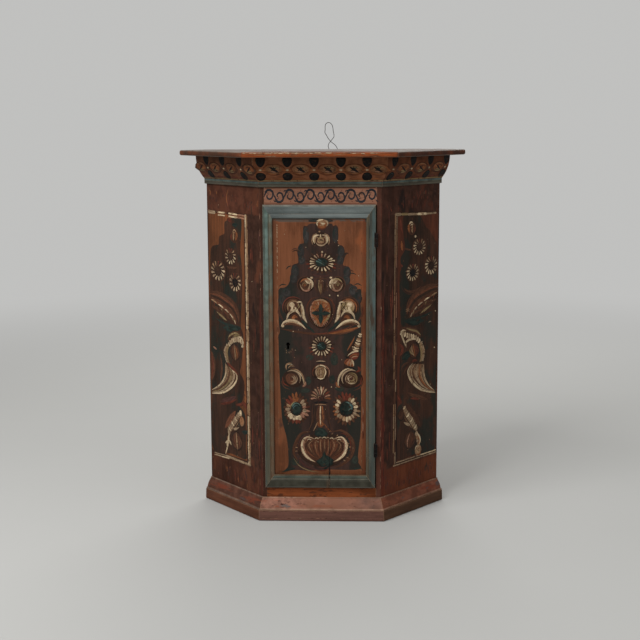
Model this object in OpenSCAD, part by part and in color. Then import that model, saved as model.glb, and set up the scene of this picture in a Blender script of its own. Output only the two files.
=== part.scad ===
// Hanging corner cupboard: a five-sided carcass with a flat front, two canted sides and two walls that
// fill a room's corner. X runs to the viewer's right, Y from the front to the corner, Z upwards.

/* [Carcass] */
// Width of the flat front
front_w = 320; // [260:5:400]
// Width across the two rear edges of the canted sides
body_w = 650; // [560:5:760]
// Angle of a canted side from the line of the front, in degrees
side_angle = 50; // [44:1:58]
// Height of the carcass, from its foot to the underside of the top board
carcass_h = 988; // [900:2:1100]
// Thickness of the two canted side boards
side_t = 18; // [16:0.5:22]
// Width of the edge of a side board that shows beside the door
strip_w = 11; // [8:0.5:13]
// Thickness of the frieze board and of the rail under the door
rail_t = 15; // [12:0.5:15]
// Thickness of the bottom, the shelves and the ceiling of the carcass
deck_t = 16; // [12:0.5:20]
// Depth of the grooves that hold the decks in the side boards
housing = 5; // [3:0.5:8]
// Distance of the seam between the two boards of a deck behind the widest line of the carcass
deck_seam = 47; // [40:1:52]
// Height of the underside of the carcass bottom
bottom_z = 80; // [76:1:82]
// Height of the underside of the lower shelf
lower_shelf_z = 370; // [300:5:400]
// Height of the underside of the upper shelf
upper_shelf_z = 638; // [580:5:680]
// Distance of a shelf's front edge from the front face
shelf_back = 40; // [36:1:80]

/* [Back] */
// Thickness of the back planks
plank_t = 12; // [10:0.5:16]
// Width of the side board's lip that covers the edge of the first plank
lip_w = 8; // [5:0.5:11]
// Open seam between two planks
plank_gap = 0.6; // [0.4:0.1:2]
// Leg of the three-sided post in the rear corner
post_leg = 22; // [16:1:24]

/* [Top board] */
// Thickness of the top board
top_t = 14; // [10:0.5:20]
// Overhang of the top board beyond the faces of the carcass
top_over = 91; // [70:1:110]
// Distance of the top board's straight rear edge behind the widest line of the carcass
top_back = 3.5; // [0:0.5:40]
// Radius of the top board's worn edges
top_round = 5; // [2:0.5:6]

/* [Cornice] */
// Height of the cornice
cornice_h = 80; // [60:1:110]
// Projection of the cornice under the top board
cornice_p = 36.5; // [26:0.5:50]
// Height of the flat band along the foot of the cornice
band_h = 14; // [10:0.5:20]
// Projection of that band
band_p = 7.5; // [5:0.5:12]

/* [Base moulding] */
// Height of the base moulding
base_h = 62; // [50:1:72]
// Projection of the base moulding at the foot
base_p = 23; // [16:0.5:34]
// Height of its upright lower member
plinth_h = 30; // [22:1:36]
// Height of the bead on top of the lower member
bead_h = 4; // [3:0.5:6]
// Projection of the moulding at its upper edge
base_lip = 4; // [2:0.5:6]

/* [Door] */
// Height of the door's lower edge
door_z = 90; // [90:0.5:92]
// Height of the frieze between the cornice and the door
frieze_h = 47.5; // [36:0.5:60]
// Thickness of the door planks under the moulding
door_t = 14; // [11:0.5:14]
// Gap between the door and the rail, the frieze or the left strip
door_gap = 2; // [1.5:0.1:2.5]
// Gap between the door and the right strip, where the hinge leaves lie
hinge_gap = 2.5; // [2.5:0.1:3.5]
// Height of the raised field of the panel above the door planks
field_h = 3; // [2:0.5:5]
// Width of the bevel round the raised field
bevel_w = 12; // [8:1:18]
// Distance of the seam between the two door planks from the middle
door_seam = 22; // [-40:1:40]
// Width of the crack along that seam
crack_w = 0.5; // [0.4:0.1:1]
// Width of the upright mouldings
stile_w = 25; // [20:0.5:32]
// Width of the mouldings along the head and the foot of the door
rail_w = 36; // [28:0.5:42]
// Height of the mouldings above the door planks
frame_h = 8; // [6:0.5:9]
// How far the left moulding laps over the left strip
side_lap = 6; // [2:0.5:8]
// How far the upper moulding laps over the frieze
head_lap = 3.5; // [2:0.5:6]
// Height of the battens on the back of the door
batten_h = 44; // [34:1:60]
// Thickness of the battens
batten_t = 13; // [10:0.5:16]
// Distance of a batten's ends from the door's edges
batten_in = 30; // [24:1:50]
// Distance of the battens' middles from the door's head and foot
batten_z = 118; // [100:1:140]

/* [Hinges] */
// Height of a hinge
hinge_h = 36; // [30:1:46]
// Outer radius of the knuckles
knuckle_r = 4.5; // [4:0.1:5.5]
// Radius of the hinge pins
pin_r = 1.9; // [1.5:0.1:2.4]
// Radial running clearance of a knuckle on its pin
pin_fit = 0.05; // [0.03:0.01:0.08]
// Thickness of a hinge leaf
leaf_t = 1.5; // [1.2:0.1:1.6]
// Distance of the pin's axis in front of the front face
hinge_y = 10; // [9:0.5:11]
// Height of the middle of the lower hinge above the door's foot
hinge_low = 106; // [70:1:200]
// Distance of the middle of the upper hinge below the door's head
hinge_high = 90.5; // [60:0.5:160]

/* [Lock] */
// Distance of the keyhole's middle from the left edge of the door planks
backset = 59; // [52:0.5:62]
// Height of the keyhole's middle
key_z = 483.5; // [460:0.5:540]
// Radius of the round part of the keyhole
key_r = 4.8; // [4:0.1:6]
// Width of the slot below it
key_slot_w = 5.2; // [4:0.1:6]
// Height of the whole keyhole
key_h = 18; // [16:0.5:24]
// Distance of the lock case from the left edge of the door planks
case_in = 4; // [3:0.5:6]
// Width of the lock case
case_w = 80; // [76:1:84]
// Height of the lock case
case_h = 80; // [72:1:96]
// Depth of the lock case behind the door
case_d = 18; // [17:0.5:20]
// Thickness of the case's sheet iron
case_t = 1.5; // [1.2:0.1:2]
// Travel of the bolt
throw = 12; // [11:0.5:12.5]
// Height of the bolt
bolt_h = 14; // [10:0.5:16]
// Thickness of the bolt
bolt_t = 5; // [4:0.1:5]
// Length of the bolt
bolt_len = 60; // [56:1:62]
// Height of the bolt's middle above the keyhole's middle
bolt_up = 20; // [19:0.5:22]
// Radius of the stud that guides the bolt's tail
stud_r = 2.5; // [2:0.1:3]
// Radius of the key's post
post_r = 2; // [1.5:0.1:2.4]

/* [Hanging wire] */
// Radius of the iron wire
wire_r = 0.9; // [0.7:0.1:1.1]
// Distance of the wire's plane in front of the rear corner
wire_in = 66; // [62:1:80]
// Height of the wire's eye above the carcass
wire_h = 86; // [70:1:110]

/* [Nails] */
// Radius of a nail's shank
nail_r = 1.5; // [1.2:0.1:1.8]
// Radius of a nail's head
head_r = 3.4; // [3:0.1:4.2]
// Thickness of a nail's head
head_t = 1.2; // [1:0.1:1.6]
// Length of the nails of the carcass
nail_len = 34; // [30:1:40]

/* [Fits] */
// Clearance between moving pieces that don't bear on each other
free = 0.3; // [0.25:0.05:0.4]
// Radial clearance of a nail or a wire in its hole
seat = 0.05; // [0.03:0.01:0.08]

/* [Hidden] */
$fn = 48;
// A length that reaches past any cut
past = 1;

// Plan of the carcass, measured from the middle of the front face
side_run = (body_w - front_w) / 2;
side_depth = side_run * tan(side_angle);
half_front = front_w / 2;
corner_y = body_w / 2 + side_depth;
wall_len = body_w / 2 * sqrt(2);
half = sqrt(0.5);
mid_y = (corner_y - top_over) / 2;
planks = 3;
jamb_x = half_front - strip_w;
post_y = corner_y - plank_t * sqrt(2) - post_leg * half;
seam_y = side_depth + deck_seam;
top_rear_y = side_depth + top_back;

// Point where the side's face, moved out by p, meets the line y = f
function front_corner(f, p) = [half_front + f / tan(side_angle) + p / sin(side_angle), f];
// Point where the side's face, moved out by p, meets the wall's face, moved in by q
function rear_corner(p, q) =
    let (sum = corner_y - q * sqrt(2))
    let (y = (sum - half_front - p / sin(side_angle)) / (1 + 1 / tan(side_angle)))
    [sum - y, y];
function flip(point) = [-point[0], point[1]];
// Five-sided outline from the line y = f back to the rear corner
function plan(f, p, q) = [
    flip(front_corner(f, p)), front_corner(f, p), rear_corner(p, q),
    [0, corner_y - q * sqrt(2)], flip(rear_corner(p, q))
];

// Heights and depths that follow from the driving sizes
cornice_z = carcass_h - cornice_h;
frieze_z = cornice_z - frieze_h;
door_top = frieze_z - door_gap;
hinge_low_z = door_z + hinge_low;
hinge_high_z = door_top - hinge_high;
sill_z = door_z - door_gap;
ceiling_z = carcass_h - deck_t;
deck_zs = [bottom_z, lower_shelf_z, upper_shelf_z, ceiling_z];
deck_fronts = [rail_t, shelf_back, shelf_back, rail_t];
deck_p = housing - side_t;
plank_w = (wall_len - lip_w) / planks;
left_plank_w = (wall_len - lip_w - plank_t) / planks;
nail_dx = plank_w / 4;

// Door edges
door_left = door_gap - jamb_x;
door_right = jamb_x - hinge_gap;
frame_left = -jamb_x - side_lap + door_gap;
frame_top = door_top + head_lap;
lap_gap = free;
axis_x = jamb_x - hinge_gap / 2;
axis_y = -hinge_y;
barrel_clear = knuckle_r + free + free;
knuckle_len = hinge_h / 3;
cap_h = 2.2;

// Lock: the case lies behind the planks, and the bolt's tip is level with its edge when drawn back
key_x = door_left + backset;
case_x = door_left + case_in;
case_z = key_z - case_h / 2;
case_back = door_t + case_d;
bolt_back_gap = 1.3;
bolt_x = case_x;
bolt_y = case_back - case_t - bolt_back_gap - bolt_t;
bolt_z = key_z + bolt_up - bolt_h / 2;
stud_in = 40;
stud_x = bolt_x + stud_in;
keeper_over = 7;

module placed() {
    translate([0, -mid_y, 0]) children();
}

module prism(points, z0, z1) {
    translate([0, 0, z0])
        linear_extrude(z1 - z0)
            polygon(points);
}

// Frame of the right wall: X along the wall to the rear corner, Y into the cupboard
module on_wall() {
    translate([rear_corner(0, 0)[0], rear_corner(0, 0)[1], 0])
        rotate([0, 0, 135])
            children();
}

// Frame of the right side: X along its face to the wall, -Y outwards
module on_side() {
    translate([half_front, 0, 0])
        rotate([0, 0, side_angle])
            children();
}

module mirror_x() {
    mirror([1, 0, 0]) children();
}

// A nail driven along -Z from the origin, with its head flush
module nail(length, grow = 0) {
    translate([0, 0, -head_t - grow])
        cylinder(r = head_r + grow, h = head_t + 2 * grow);
    translate([0, 0, -length - grow])
        cylinder(r = nail_r + grow, h = length);
}

// Nails through one wall's planks into the four decks
module wall_nails(width, grow = 0) {
    for (deck = [0 : 3])
        for (i = [0 : planks - 1])
            for (side = [-1, 1])
                translate([lip_w + (i + 0.5) * width + side * nail_dx, 0, deck_zs[deck] + deck_t / 2])
                    rotate([90, 0, 0])
                        nail(nail_len, grow);
}

module all_wall_nails(grow = 0) {
    on_wall() wall_nails(plank_w, grow);
    mirror_x() on_wall() wall_nails(left_plank_w, grow);
}

module all_top_nails(grow = 0) {
    translate([0, 0, carcass_h + top_t]) {
        for (side = [-1, 1])
            translate([side * half_front / 2, rail_t / 2, 0])
                nail(nail_len + top_t, grow);
        for (side = [0, 1])
            mirror([side, 0, 0])
                on_side()
                    for (share = [0.25, 0.6])
                        translate([share * side_run / cos(side_angle), side_t / 2, 0])
                            nail(nail_len + top_t, grow);
    }
}

// One canted side board, with the strip that shows, the grooves and the rebate for the planks
module side_board() {
    outer_rear = rear_corner(0, 0);
    lip_end = outer_rear + lip_w * [-half, half];
    inner_x = half_front - side_t / sin(side_angle);
    jamb_depth = (jamb_x - inner_x) * tan(side_angle);
    outline = [
        [half_front, 0], outer_rear, lip_end, lip_end - plank_t * [half, half],
        rear_corner(-side_t, plank_t), [jamb_x, jamb_depth], [jamb_x, 0]
    ];
    difference() {
        prism(outline, 0, carcass_h);
        for (deck = [0 : 3])
            prism(plan(deck_fronts[deck], deck_p, plank_t), deck_zs[deck], deck_zs[deck] + deck_t);
    }
}

module side_board_right() {
    color("#3b231c")
        placed()
            difference() {
                side_board();
                for (z = [hinge_low_z, hinge_high_z])
                    hinge_recess(z);
                all_top_nails(seat);
            }
}

module side_board_left() {
    color("#3b231c")
        placed()
            difference() {
                mirror_x() side_board();
                all_top_nails(seat);
            }
}

// Shallow seat of a hinge leaf in the edge beside the door
module hinge_recess(z) {
    translate([axis_x + free, -past, z - hinge_h / 2])
        cube([leaf_t, past + leaf_depth(), hinge_h]);
}
function leaf_depth() = door_t - 2;

module frieze_board() {
    color("#8d5f4c")
        placed()
            difference() {
                translate([-jamb_x, 0, frieze_z])
                    cube([2 * jamb_x, rail_t, carcass_h - frieze_z]);
                all_top_nails(seat);
            }
}

module bottom_rail() {
    color("#6d3a2a")
        placed()
            translate([-jamb_x, 0, 0])
                cube([2 * jamb_x, rail_t, sill_z]);
}

// Batten behind the frieze that the closed door meets
module door_stop() {
    stop_w = 2 * (jamb_x - batten_in);
    stop_under = 10;
    stop_h = 34;
    color("#7d5a3d")
        placed()
            translate([-stop_w / 2, rail_t, door_top - stop_under])
                cube([stop_w, rail_t, stop_h]);
}

// One board of a deck, from y0 to y1, let into the side boards
module deck_board(deck, y0, y1) {
    difference() {
        intersection() {
            prism(plan(deck_fronts[deck], deck_p, plank_t), deck_zs[deck], deck_zs[deck] + deck_t);
            translate([-body_w, y0, 0])
                cube([2 * body_w, y1 - y0, carcass_h + past]);
        }
        all_wall_nails(seat);
        wire_holes();
    }
}

module deck_front(deck) {
    color("#7a5638") placed() deck_board(deck, 0, seam_y);
}

// The shelves end at the corner post, and the bottom and the ceiling run on under and over it
module deck_rear(deck) {
    rear = deck == 0 || deck == 3 ? corner_y : post_y;
    color("#7a5638") placed() deck_board(deck, seam_y, rear);
}

// One plank of the right wall, counted from the side board to the corner
module wall_plank(i, width) {
    translate([lip_w + i * width, 0, 0])
        cube([width - (i < planks - 1 ? plank_gap : 0), plank_t, carcass_h]);
}

module back_plank_right(i) {
    color("#8a6a48")
        placed()
            difference() {
                on_wall() wall_plank(i, plank_w);
                all_wall_nails(seat);
            }
}

module back_plank_left(i) {
    color("#8a6a48")
        placed()
            difference() {
                mirror_x() on_wall() wall_plank(i, left_plank_w);
                all_wall_nails(seat);
            }
}

module corner_post() {
    inner = [0, corner_y - plank_t * sqrt(2)];
    outline = [inner, inner - post_leg * [half, half], inner + post_leg * [half, -half]];
    color("#7d5a3d") placed() prism(outline, bottom_z + deck_t, ceiling_z);
}

// Outline of the top board, drawn in by the given amount along its moulded edges
function top_outline(inset) =
    let (o = top_over - inset)
    let (tip = rear_corner(o, 0))
    let (end = [corner_y - top_rear_y, top_rear_y])
    [flip(front_corner(-o, o)), front_corner(-o, o), tip, end, flip(end), flip(tip)];

module top_board() {
    color("#6a3f26")
        placed()
            difference() {
                hull() {
                    prism(top_outline(top_round), carcass_h, carcass_h + top_t);
                    prism(top_outline(top_round * 0.3), carcass_h + top_round * 0.3,
                          carcass_h + top_t - top_round * 0.3);
                    prism(top_outline(0), carcass_h + top_round, carcass_h + top_t - top_round);
                }
                all_top_nails(seat);
            }
}

// A straight moulding of the given [projection, height] profile, along +X
module moulding_bar(profile, length) {
    rotate([90, 0, 90])
        linear_extrude(length)
            polygon([for (point = profile) [-point[0], point[1]]]);
}

// Mitred front and side lengths of a moulding that runs round the carcass
module front_length(profile, reach) {
    outer = front_corner(-reach, reach);
    sector = [[-half_front, 0], [half_front, 0], outer, flip(outer)];
    intersection() {
        translate([-body_w, 0, 0]) moulding_bar(profile, 2 * body_w);
        prism(sector, -past, carcass_h + past);
    }
}

module side_length(profile, reach) {
    sector = [[half_front, 0], front_corner(-reach, reach), rear_corner(reach, 0), rear_corner(0, 0)];
    intersection() {
        on_side() translate([-body_w / 2, 0, 0]) moulding_bar(profile, 2 * body_w);
        prism(sector, -past, carcass_h + past);
    }
}

// Cornice: a flat band under a quarter-round that stands almost upright at the top
ovolo_p = cornice_p - band_p - 0.5;
ovolo_z = cornice_h - band_h - 1;
ovolo_r = (ovolo_p * ovolo_p + ovolo_z * ovolo_z) / (2 * ovolo_p);
ovolo_turn = asin(ovolo_z / ovolo_r);
ovolo_steps = 12;
cornice_profile = concat(
    [[0, cornice_z], [band_p - 1.5, cornice_z], [band_p, cornice_z + 1.5],
     [band_p, cornice_z + band_h - 1], [band_p + 0.5, cornice_z + band_h + 1]],
    [for (i = [1 : ovolo_steps])
        let (turn = ovolo_turn * (1 - i / ovolo_steps))
        [cornice_p - ovolo_r + ovolo_r * cos(turn), carcass_h - ovolo_r * sin(turn)]],
    [[0, carcass_h]]
);

module cornice_front() {
    color("#5a3c28") placed() front_length(cornice_profile, 2 * cornice_p);
}

module cornice_right() {
    color("#4a3023") placed() side_length(cornice_profile, 2 * cornice_p);
}

module cornice_left() {
    color("#4a3023") placed() mirror_x() side_length(cornice_profile, 2 * cornice_p);
}

// Base moulding: an upright member with a worn foot, a bead, and a sloping member above
foot_r = 4;
slope_p = base_p - 6;
slope_steps = 6;
bead_r = bead_h / 2;
base_profile = concat(
    [[0, 0]],
    [for (turn = [0 : 22.5 : 90]) [base_p - foot_r + foot_r * sin(turn), foot_r - foot_r * cos(turn)]],
    [[base_p - 1, plinth_h - 1], [base_p - 2.5, plinth_h]],
    [for (turn = [-60 : 30 : 60])
        [base_p - 4 + bead_r * cos(turn), plinth_h + bead_r + bead_r * sin(turn)]],
    [for (i = [0 : slope_steps])
        let (share = i / slope_steps)
        let (swell = 2.2 * sin(180 * share))
        [slope_p + (base_lip - slope_p) * share + swell,
         plinth_h + bead_h + (base_h - 3 - plinth_h - bead_h) * share]],
    [[base_lip, base_h - 1], [base_lip - 1, base_h], [0, base_h]]
);

module base_moulding_front() {
    color("#5a352c") placed() front_length(base_profile, 2 * base_p);
}

module base_moulding_right() {
    color("#4c2f29") placed() side_length(base_profile, 2 * base_p);
}

module base_moulding_left() {
    color("#4c2f29") placed() mirror_x() side_length(base_profile, 2 * base_p);
}

// Door planks: the raised field's bevels are the meeting of an upright and a level profile
module door_slab() {
    inner_left = frame_left + stile_w;
    inner_right = door_right - stile_w;
    inner_top = frame_top - rail_w;
    inner_foot = door_z + rail_w;
    across = [
        [door_left, door_t], [door_left, 0], [inner_left, 0], [inner_left + bevel_w, -field_h],
        [inner_right - bevel_w, -field_h], [inner_right, 0], [door_right, 0], [door_right, door_t]
    ];
    upright = [
        [door_t, door_z], [0, door_z], [0, inner_foot], [-field_h, inner_foot + bevel_w],
        [-field_h, inner_top - bevel_w], [0, inner_top], [0, door_top], [door_t, door_top]
    ];
    intersection() {
        prism(across, door_z, door_top);
        translate([-body_w / 2, 0, 0])
            rotate([90, 0, 90])
                linear_extrude(body_w)
                    polygon(upright);
    }
}

// Keyhole: a round eye with a slot below it, along Y
module keyhole() {
    eye_z = key_z + key_h / 2 - key_r;
    translate([key_x, -field_h - past, eye_z])
        rotate([-90, 0, 0])
            cylinder(r = key_r, h = door_t + field_h + 2 * past);
    translate([key_x - key_slot_w / 2, -field_h - past, key_z - key_h / 2])
        cube([key_slot_w, door_t + field_h + 2 * past, eye_z - key_z + key_h / 2]);
}

module door_plank_left() {
    color("#8a4a25")
        placed()
            difference() {
                intersection() {
                    door_slab();
                    translate([-body_w / 2, -past - field_h, 0])
                        cube([body_w / 2 + door_seam - crack_w / 2, door_t + field_h + 2 * past, carcass_h]);
                }
                keyhole();
                all_batten_nails(seat);
                all_lock_nails(seat);
            }
}

module door_plank_right() {
    color("#8a4a25")
        placed()
            difference() {
                intersection() {
                    door_slab();
                    translate([door_seam + crack_w / 2, -past - field_h, 0])
                        cube([body_w / 2, door_t + field_h + 2 * past, carcass_h]);
                }
                for (z = [hinge_low_z, hinge_high_z])
                    door_leaf_recess(z);
                all_batten_nails(seat);
            }
}

// Profile of the door's moulding, from its outer edge: a flat, a groove and a bead
function frame_profile(width) =
    let (bead = width * 0.15)
    let (middle = width - bead)
    concat(
        [[0, lap_gap], [0, frame_h - 2], [0.6, frame_h - 0.6], [2, frame_h]],
        [[width * 0.5, frame_h - 1.2], [width * 0.6, frame_h - 2.6], [width * 0.68, frame_h - 4]],
        [for (turn = [160 : -28 : 20])
            [middle + bead * cos(turn), frame_h - 4.4 + 2.6 * sin(turn)]],
        [[width, frame_h - 4.6], [width, lap_gap]]
    );

// A length of that moulding along +X, its outer edge at y = 0 and its inner edge at +Y, facing +Z
module frame_bar(width, length) {
    rotate([90, 0, 90])
        linear_extrude(length)
            polygon(frame_profile(width));
}

// Stands a piece that faces +Z in the door's plane, facing the viewer
module on_door() {
    rotate([90, 0, 0]) children();
}

// Mitred area of one side of the door's frame, seen from the front
module frame_area(points) {
    translate([0, past, 0])
        rotate([90, 0, 0])
            linear_extrude(frame_h + 2 * past)
                polygon(points);
}

frame_outer = [
    [frame_left, door_z], [door_right, door_z], [door_right, frame_top], [frame_left, frame_top]
];
frame_inner = [
    [frame_left + stile_w, door_z + rail_w], [door_right - stile_w, door_z + rail_w],
    [door_right - stile_w, frame_top - rail_w], [frame_left + stile_w, frame_top - rail_w]
];

// Side i of the frame, counted from the foot: its area lies between two mitres
module frame_side(i) {
    j = (i + 1) % 4;
    intersection() {
        children();
        frame_area([frame_outer[i], frame_outer[j], frame_inner[j], frame_inner[i]]);
    }
}

// Room round the knuckles and the pin's head, cut out of the right moulding
module barrel_notch(z) {
    translate([axis_x - barrel_clear, axis_y - barrel_clear, z - hinge_h / 2 - 2 * free])
        cube([2 * barrel_clear, 2 * barrel_clear, hinge_h + cap_h + 4 * free]);
}

module door_moulding_bottom() {
    color("#4a5a55")
        placed()
            difference() {
                frame_side(0)
                    translate([frame_left, 0, door_z])
                        on_door()
                            frame_bar(rail_w, door_right - frame_left);
                frame_crack();
            }
}

// The crack in the planks runs on through the lower moulding as a narrow split
module frame_crack() {
    translate([door_seam - crack_w, -frame_h - past, door_z - past])
        cube([2 * crack_w, frame_h / 2 + past, rail_w + 2 * past]);
}

module door_moulding_right() {
    color("#4a5a55")
        placed()
            difference() {
                frame_side(1)
                    translate([door_right, 0, door_z])
                        on_door()
                            rotate([0, 0, 90])
                                frame_bar(stile_w, frame_top - door_z);
                for (z = [hinge_low_z, hinge_high_z]) {
                    barrel_notch(z);
                    door_leaf_recess(z);
                }
            }
}

module door_moulding_top() {
    color("#4a5a55")
        placed()
            frame_side(2)
                translate([door_right, 0, frame_top])
                    on_door()
                        rotate([0, 0, 180])
                            frame_bar(rail_w, door_right - frame_left);
}

module door_moulding_left() {
    color("#4a5a55")
        placed()
            frame_side(3)
                translate([frame_left, 0, frame_top])
                    on_door()
                        rotate([0, 0, 270])
                            frame_bar(stile_w, frame_top - door_z);
}

// Battens across the back of the door, with eased ends
module door_batten(z) {
    x0 = door_left + batten_in;
    x1 = door_right - batten_in;
    ease = batten_t / 2;
    outline = [
        [x0, door_t], [x1, door_t], [x1, door_t + batten_t - ease], [x1 - ease, door_t + batten_t],
        [x0 + ease, door_t + batten_t], [x0, door_t + batten_t - ease]
    ];
    color("#7d5a3d")
        placed()
            difference() {
                prism(outline, z - batten_h / 2, z + batten_h / 2);
                all_batten_nails(seat);
            }
}

module all_batten_nails(grow = 0) {
    span = door_right - door_left - 2 * batten_in;
    for (z = [door_z + batten_z, door_top - batten_z])
        for (i = [0 : 3])
            translate([door_left + batten_in + span * (i + 0.5) / 4, door_t + batten_t,
                       z + (i % 2 == 0 ? 1 : -1) * batten_h / 5])
                rotate([-90, 0, 0])
                    nail(batten_t + door_t - 3, grow);
}

// Leaf that is let into the strip beside the door, with the upper and lower knuckles
module hinge_jamb_leaf(z) {
    color("#2b2724")
        placed()
            difference() {
                union() {
                    translate([axis_x + free, axis_y + barrel_clear, z - hinge_h / 2])
                        cube([leaf_t, leaf_depth() - axis_y - barrel_clear, hinge_h]);
                    for (end = [-1, 1])
                        translate([0, 0, z + end * knuckle_len - knuckle_len / 2]) {
                            translate([axis_x, axis_y, 0])
                                cylinder(r = knuckle_r, h = knuckle_len);
                            translate([axis_x + free, axis_y, 0])
                                cube([leaf_t, barrel_clear, knuckle_len]);
                        }
                }
                hinge_pin_hole(z);
            }
}

// Leaf on the door's edge, with the middle knuckle
module hinge_door_leaf(z) {
    middle_len = knuckle_len - 2 * free;
    color("#2b2724")
        placed()
            difference() {
                union() {
                    translate([axis_x - free - leaf_t, axis_y + barrel_clear, z - hinge_h / 2])
                        cube([leaf_t, leaf_depth() - axis_y - barrel_clear, hinge_h]);
                    translate([axis_x, axis_y, z - middle_len / 2])
                        cylinder(r = knuckle_r, h = middle_len);
                    translate([axis_x - free - leaf_t, axis_y, z - middle_len / 2])
                        cube([leaf_t, barrel_clear, middle_len]);
                }
                hinge_pin_hole(z);
            }
}

module hinge_pin_hole(z) {
    translate([axis_x, axis_y, z - hinge_h / 2 - past])
        cylinder(r = pin_r + pin_fit, h = hinge_h + 2 * past);
}

module door_leaf_recess(z) {
    translate([axis_x - free - leaf_t, -frame_h - past, z - hinge_h / 2])
        cube([leaf_t + past, frame_h + past + leaf_depth(), hinge_h]);
}

// Pin with a low domed head that rests on the upper knuckle
module hinge_pin(z) {
    cap_r = pin_r + 1.6;
    color("#3a3531")
        placed()
            translate([axis_x, axis_y, z - hinge_h / 2]) {
                cylinder(r = pin_r, h = hinge_h);
                translate([0, 0, hinge_h])
                    rotate_extrude()
                        polygon([[0, 0], [cap_r, 0], [cap_r, 0.8], [cap_r - 0.9, cap_h - 0.4], [0, cap_h]]);
            }
}

// Rim lock: a case of sheet iron, open towards the door, with a slot for the bolt
module lock_case() {
    inner = case_t;
    color("#33302e")
        placed()
            difference() {
                translate([case_x, door_t, case_z])
                    cube([case_w, case_d, case_h]);
                translate([case_x + inner, door_t - past, case_z + inner])
                    cube([case_w - 2 * inner, case_d - inner + past, case_h - 2 * inner]);
                translate([case_x - past, bolt_y - free, bolt_z - free])
                    cube([inner + 2 * past, bolt_t + 2 * free, bolt_h + 2 * free]);
                on_case_back(stud_x, bolt_z + bolt_h / 2)
                    cylinder(r = stud_r, h = case_t + 2 * past, center = true);
                on_case_back(key_x, key_z)
                    cylinder(r = post_r, h = case_t + 2 * past, center = true);
                all_lock_nails(seat);
            }
}

// Places a piece on the middle of the case's back sheet, with +Z towards the door
module on_case_back(x, z) {
    translate([x, case_back - case_t / 2, z])
        rotate([90, 0, 0])
            children();
}

module all_lock_nails(grow = 0) {
    for (x = [case_x + 6, case_x + case_w - 6])
        for (z = [case_z + 6, case_z + case_h - 6])
            translate([x, case_back, z])
                rotate([-90, 0, 0])
                    nail(case_d + door_t - 3, grow);
}

// Bolt with a slot that rides on the stud and a notch that the key's bit catches
module lock_bolt() {
    slot_r = stud_r + free;
    notch_w = 12;
    color("#55504b")
        placed()
            difference() {
                translate([bolt_x, bolt_y, bolt_z])
                    cube([bolt_len, bolt_t, bolt_h]);
                for (x = [stud_x, stud_x + throw])
                    translate([x, bolt_y - past, bolt_z + bolt_h / 2])
                        rotate([-90, 0, 0])
                            cylinder(r = slot_r, h = bolt_t + 2 * past);
                translate([stud_x, bolt_y - past, bolt_z + bolt_h / 2 - slot_r])
                    cube([throw, bolt_t + 2 * past, 2 * slot_r]);
                translate([stud_x - 14 - notch_w / 2, bolt_y - past, bolt_z - past])
                    cube([notch_w, bolt_t + 2 * past, past + bolt_h / 3]);
            }
}

module lock_stud() {
    stud_len = case_back - bolt_y + 1;
    color("#55504b")
        placed()
            translate([stud_x, case_back, bolt_z + bolt_h / 2])
                rotate([90, 0, 0])
                    cylinder(r = stud_r, h = stud_len);
}

// Post that a hollow key turns on
module lock_key_post() {
    color("#55504b")
        placed()
            translate([key_x, case_back, key_z])
                rotate([90, 0, 0])
                    cylinder(r = post_r, h = case_d + door_t / 2);
}

// Leaf spring that hangs from the top of the case and presses on the bolt's tail
module lock_spring() {
    spring_t = 0.8;
    rise = case_z + case_h - case_t - (bolt_z + bolt_h + free);
    reach = 44;
    steps = 12;
    function bow(share) = rise * pow(share, 2);
    low = [for (i = [0 : steps]) [reach * i / steps, bow(i / steps)]];
    high = [for (i = [steps : -1 : 0]) [reach * i / steps, min(rise, bow(i / steps) + spring_t)]];
    color("#6a645e")
        placed()
            translate([bolt_x + 12, bolt_y + bolt_t, bolt_z + bolt_h + free])
                rotate([90, 0, 0])
                    linear_extrude(bolt_t)
                        polygon(concat(low, high));
}

// Wedge on the left side board that the thrown bolt catches behind
module lock_keeper() {
    back_y = bolt_y - free;
    inner_x = half_front - side_t / sin(side_angle);
    near_x = jamb_x + 2 * free;
    outline = [
        [-near_x, (near_x - inner_x) * tan(side_angle)], [-near_x, back_y],
        [-inner_x - back_y / tan(side_angle), back_y]
    ];
    color("#33302e")
        placed()
            prism(outline, bolt_z - keeper_over, bolt_z + bolt_h + keeper_over);
}

// Route of the wire in its own plane, [across, towards the viewer, upwards]. The feet come up through
// the ceiling board from their bent ends, and the rest is drawn for an eye 86 mm high and scaled to it.
wire_low = -deck_t - wire_r - free;
wire_bend = 1.5;
wire_left = 10.5;
wire_right = 37.7;
wire_drawn_h = 86;
wire_up = (wire_h - wire_r) / wire_drawn_h;
wire_loop = [
    [11, 0, 5], [9, 1, 11], [8, 2, 16], [10, 2.4, 24], [16, 1.8, 32], [21, 1, 38], [25, 0, 44],
    [25, 0, 51], [23, 0, 61], [22, 0, 71], [19, 0, 80], [13, 0, 85.5], [6, 0, 86], [0, 0, 81],
    [-1, 0, 73], [-1, 0, 64], [-2, 0, 57], [2, -0.4, 50], [7, -1, 41], [12, -1.4, 34],
    [19, -1.4, 27], [29, -1, 19], [35, 0, 9]
];
wire_route = concat(
    [[24, 0, wire_low], [wire_left + wire_bend, 0, wire_low], [wire_left, 0, wire_low + wire_bend],
     [wire_left, 0, -deck_t / 2], [wire_left, 0, 0]],
    [for (p = wire_loop) [p[0], p[1], p[2] * wire_up]],
    [[wire_right, 0, 0], [wire_right, 0, -deck_t / 2], [wire_right, 0, wire_low + wire_bend],
     [wire_right - wire_bend, 0, wire_low], [29, 0, wire_low]]
);
wire_sides = 8;
wire_steps = 2;

module wire_holes() {
    for (x = [wire_left, wire_right])
        translate([x, corner_y - wire_in, ceiling_z - past])
            cylinder(r = wire_r + 2 * free, h = deck_t + 2 * past);
}

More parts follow.
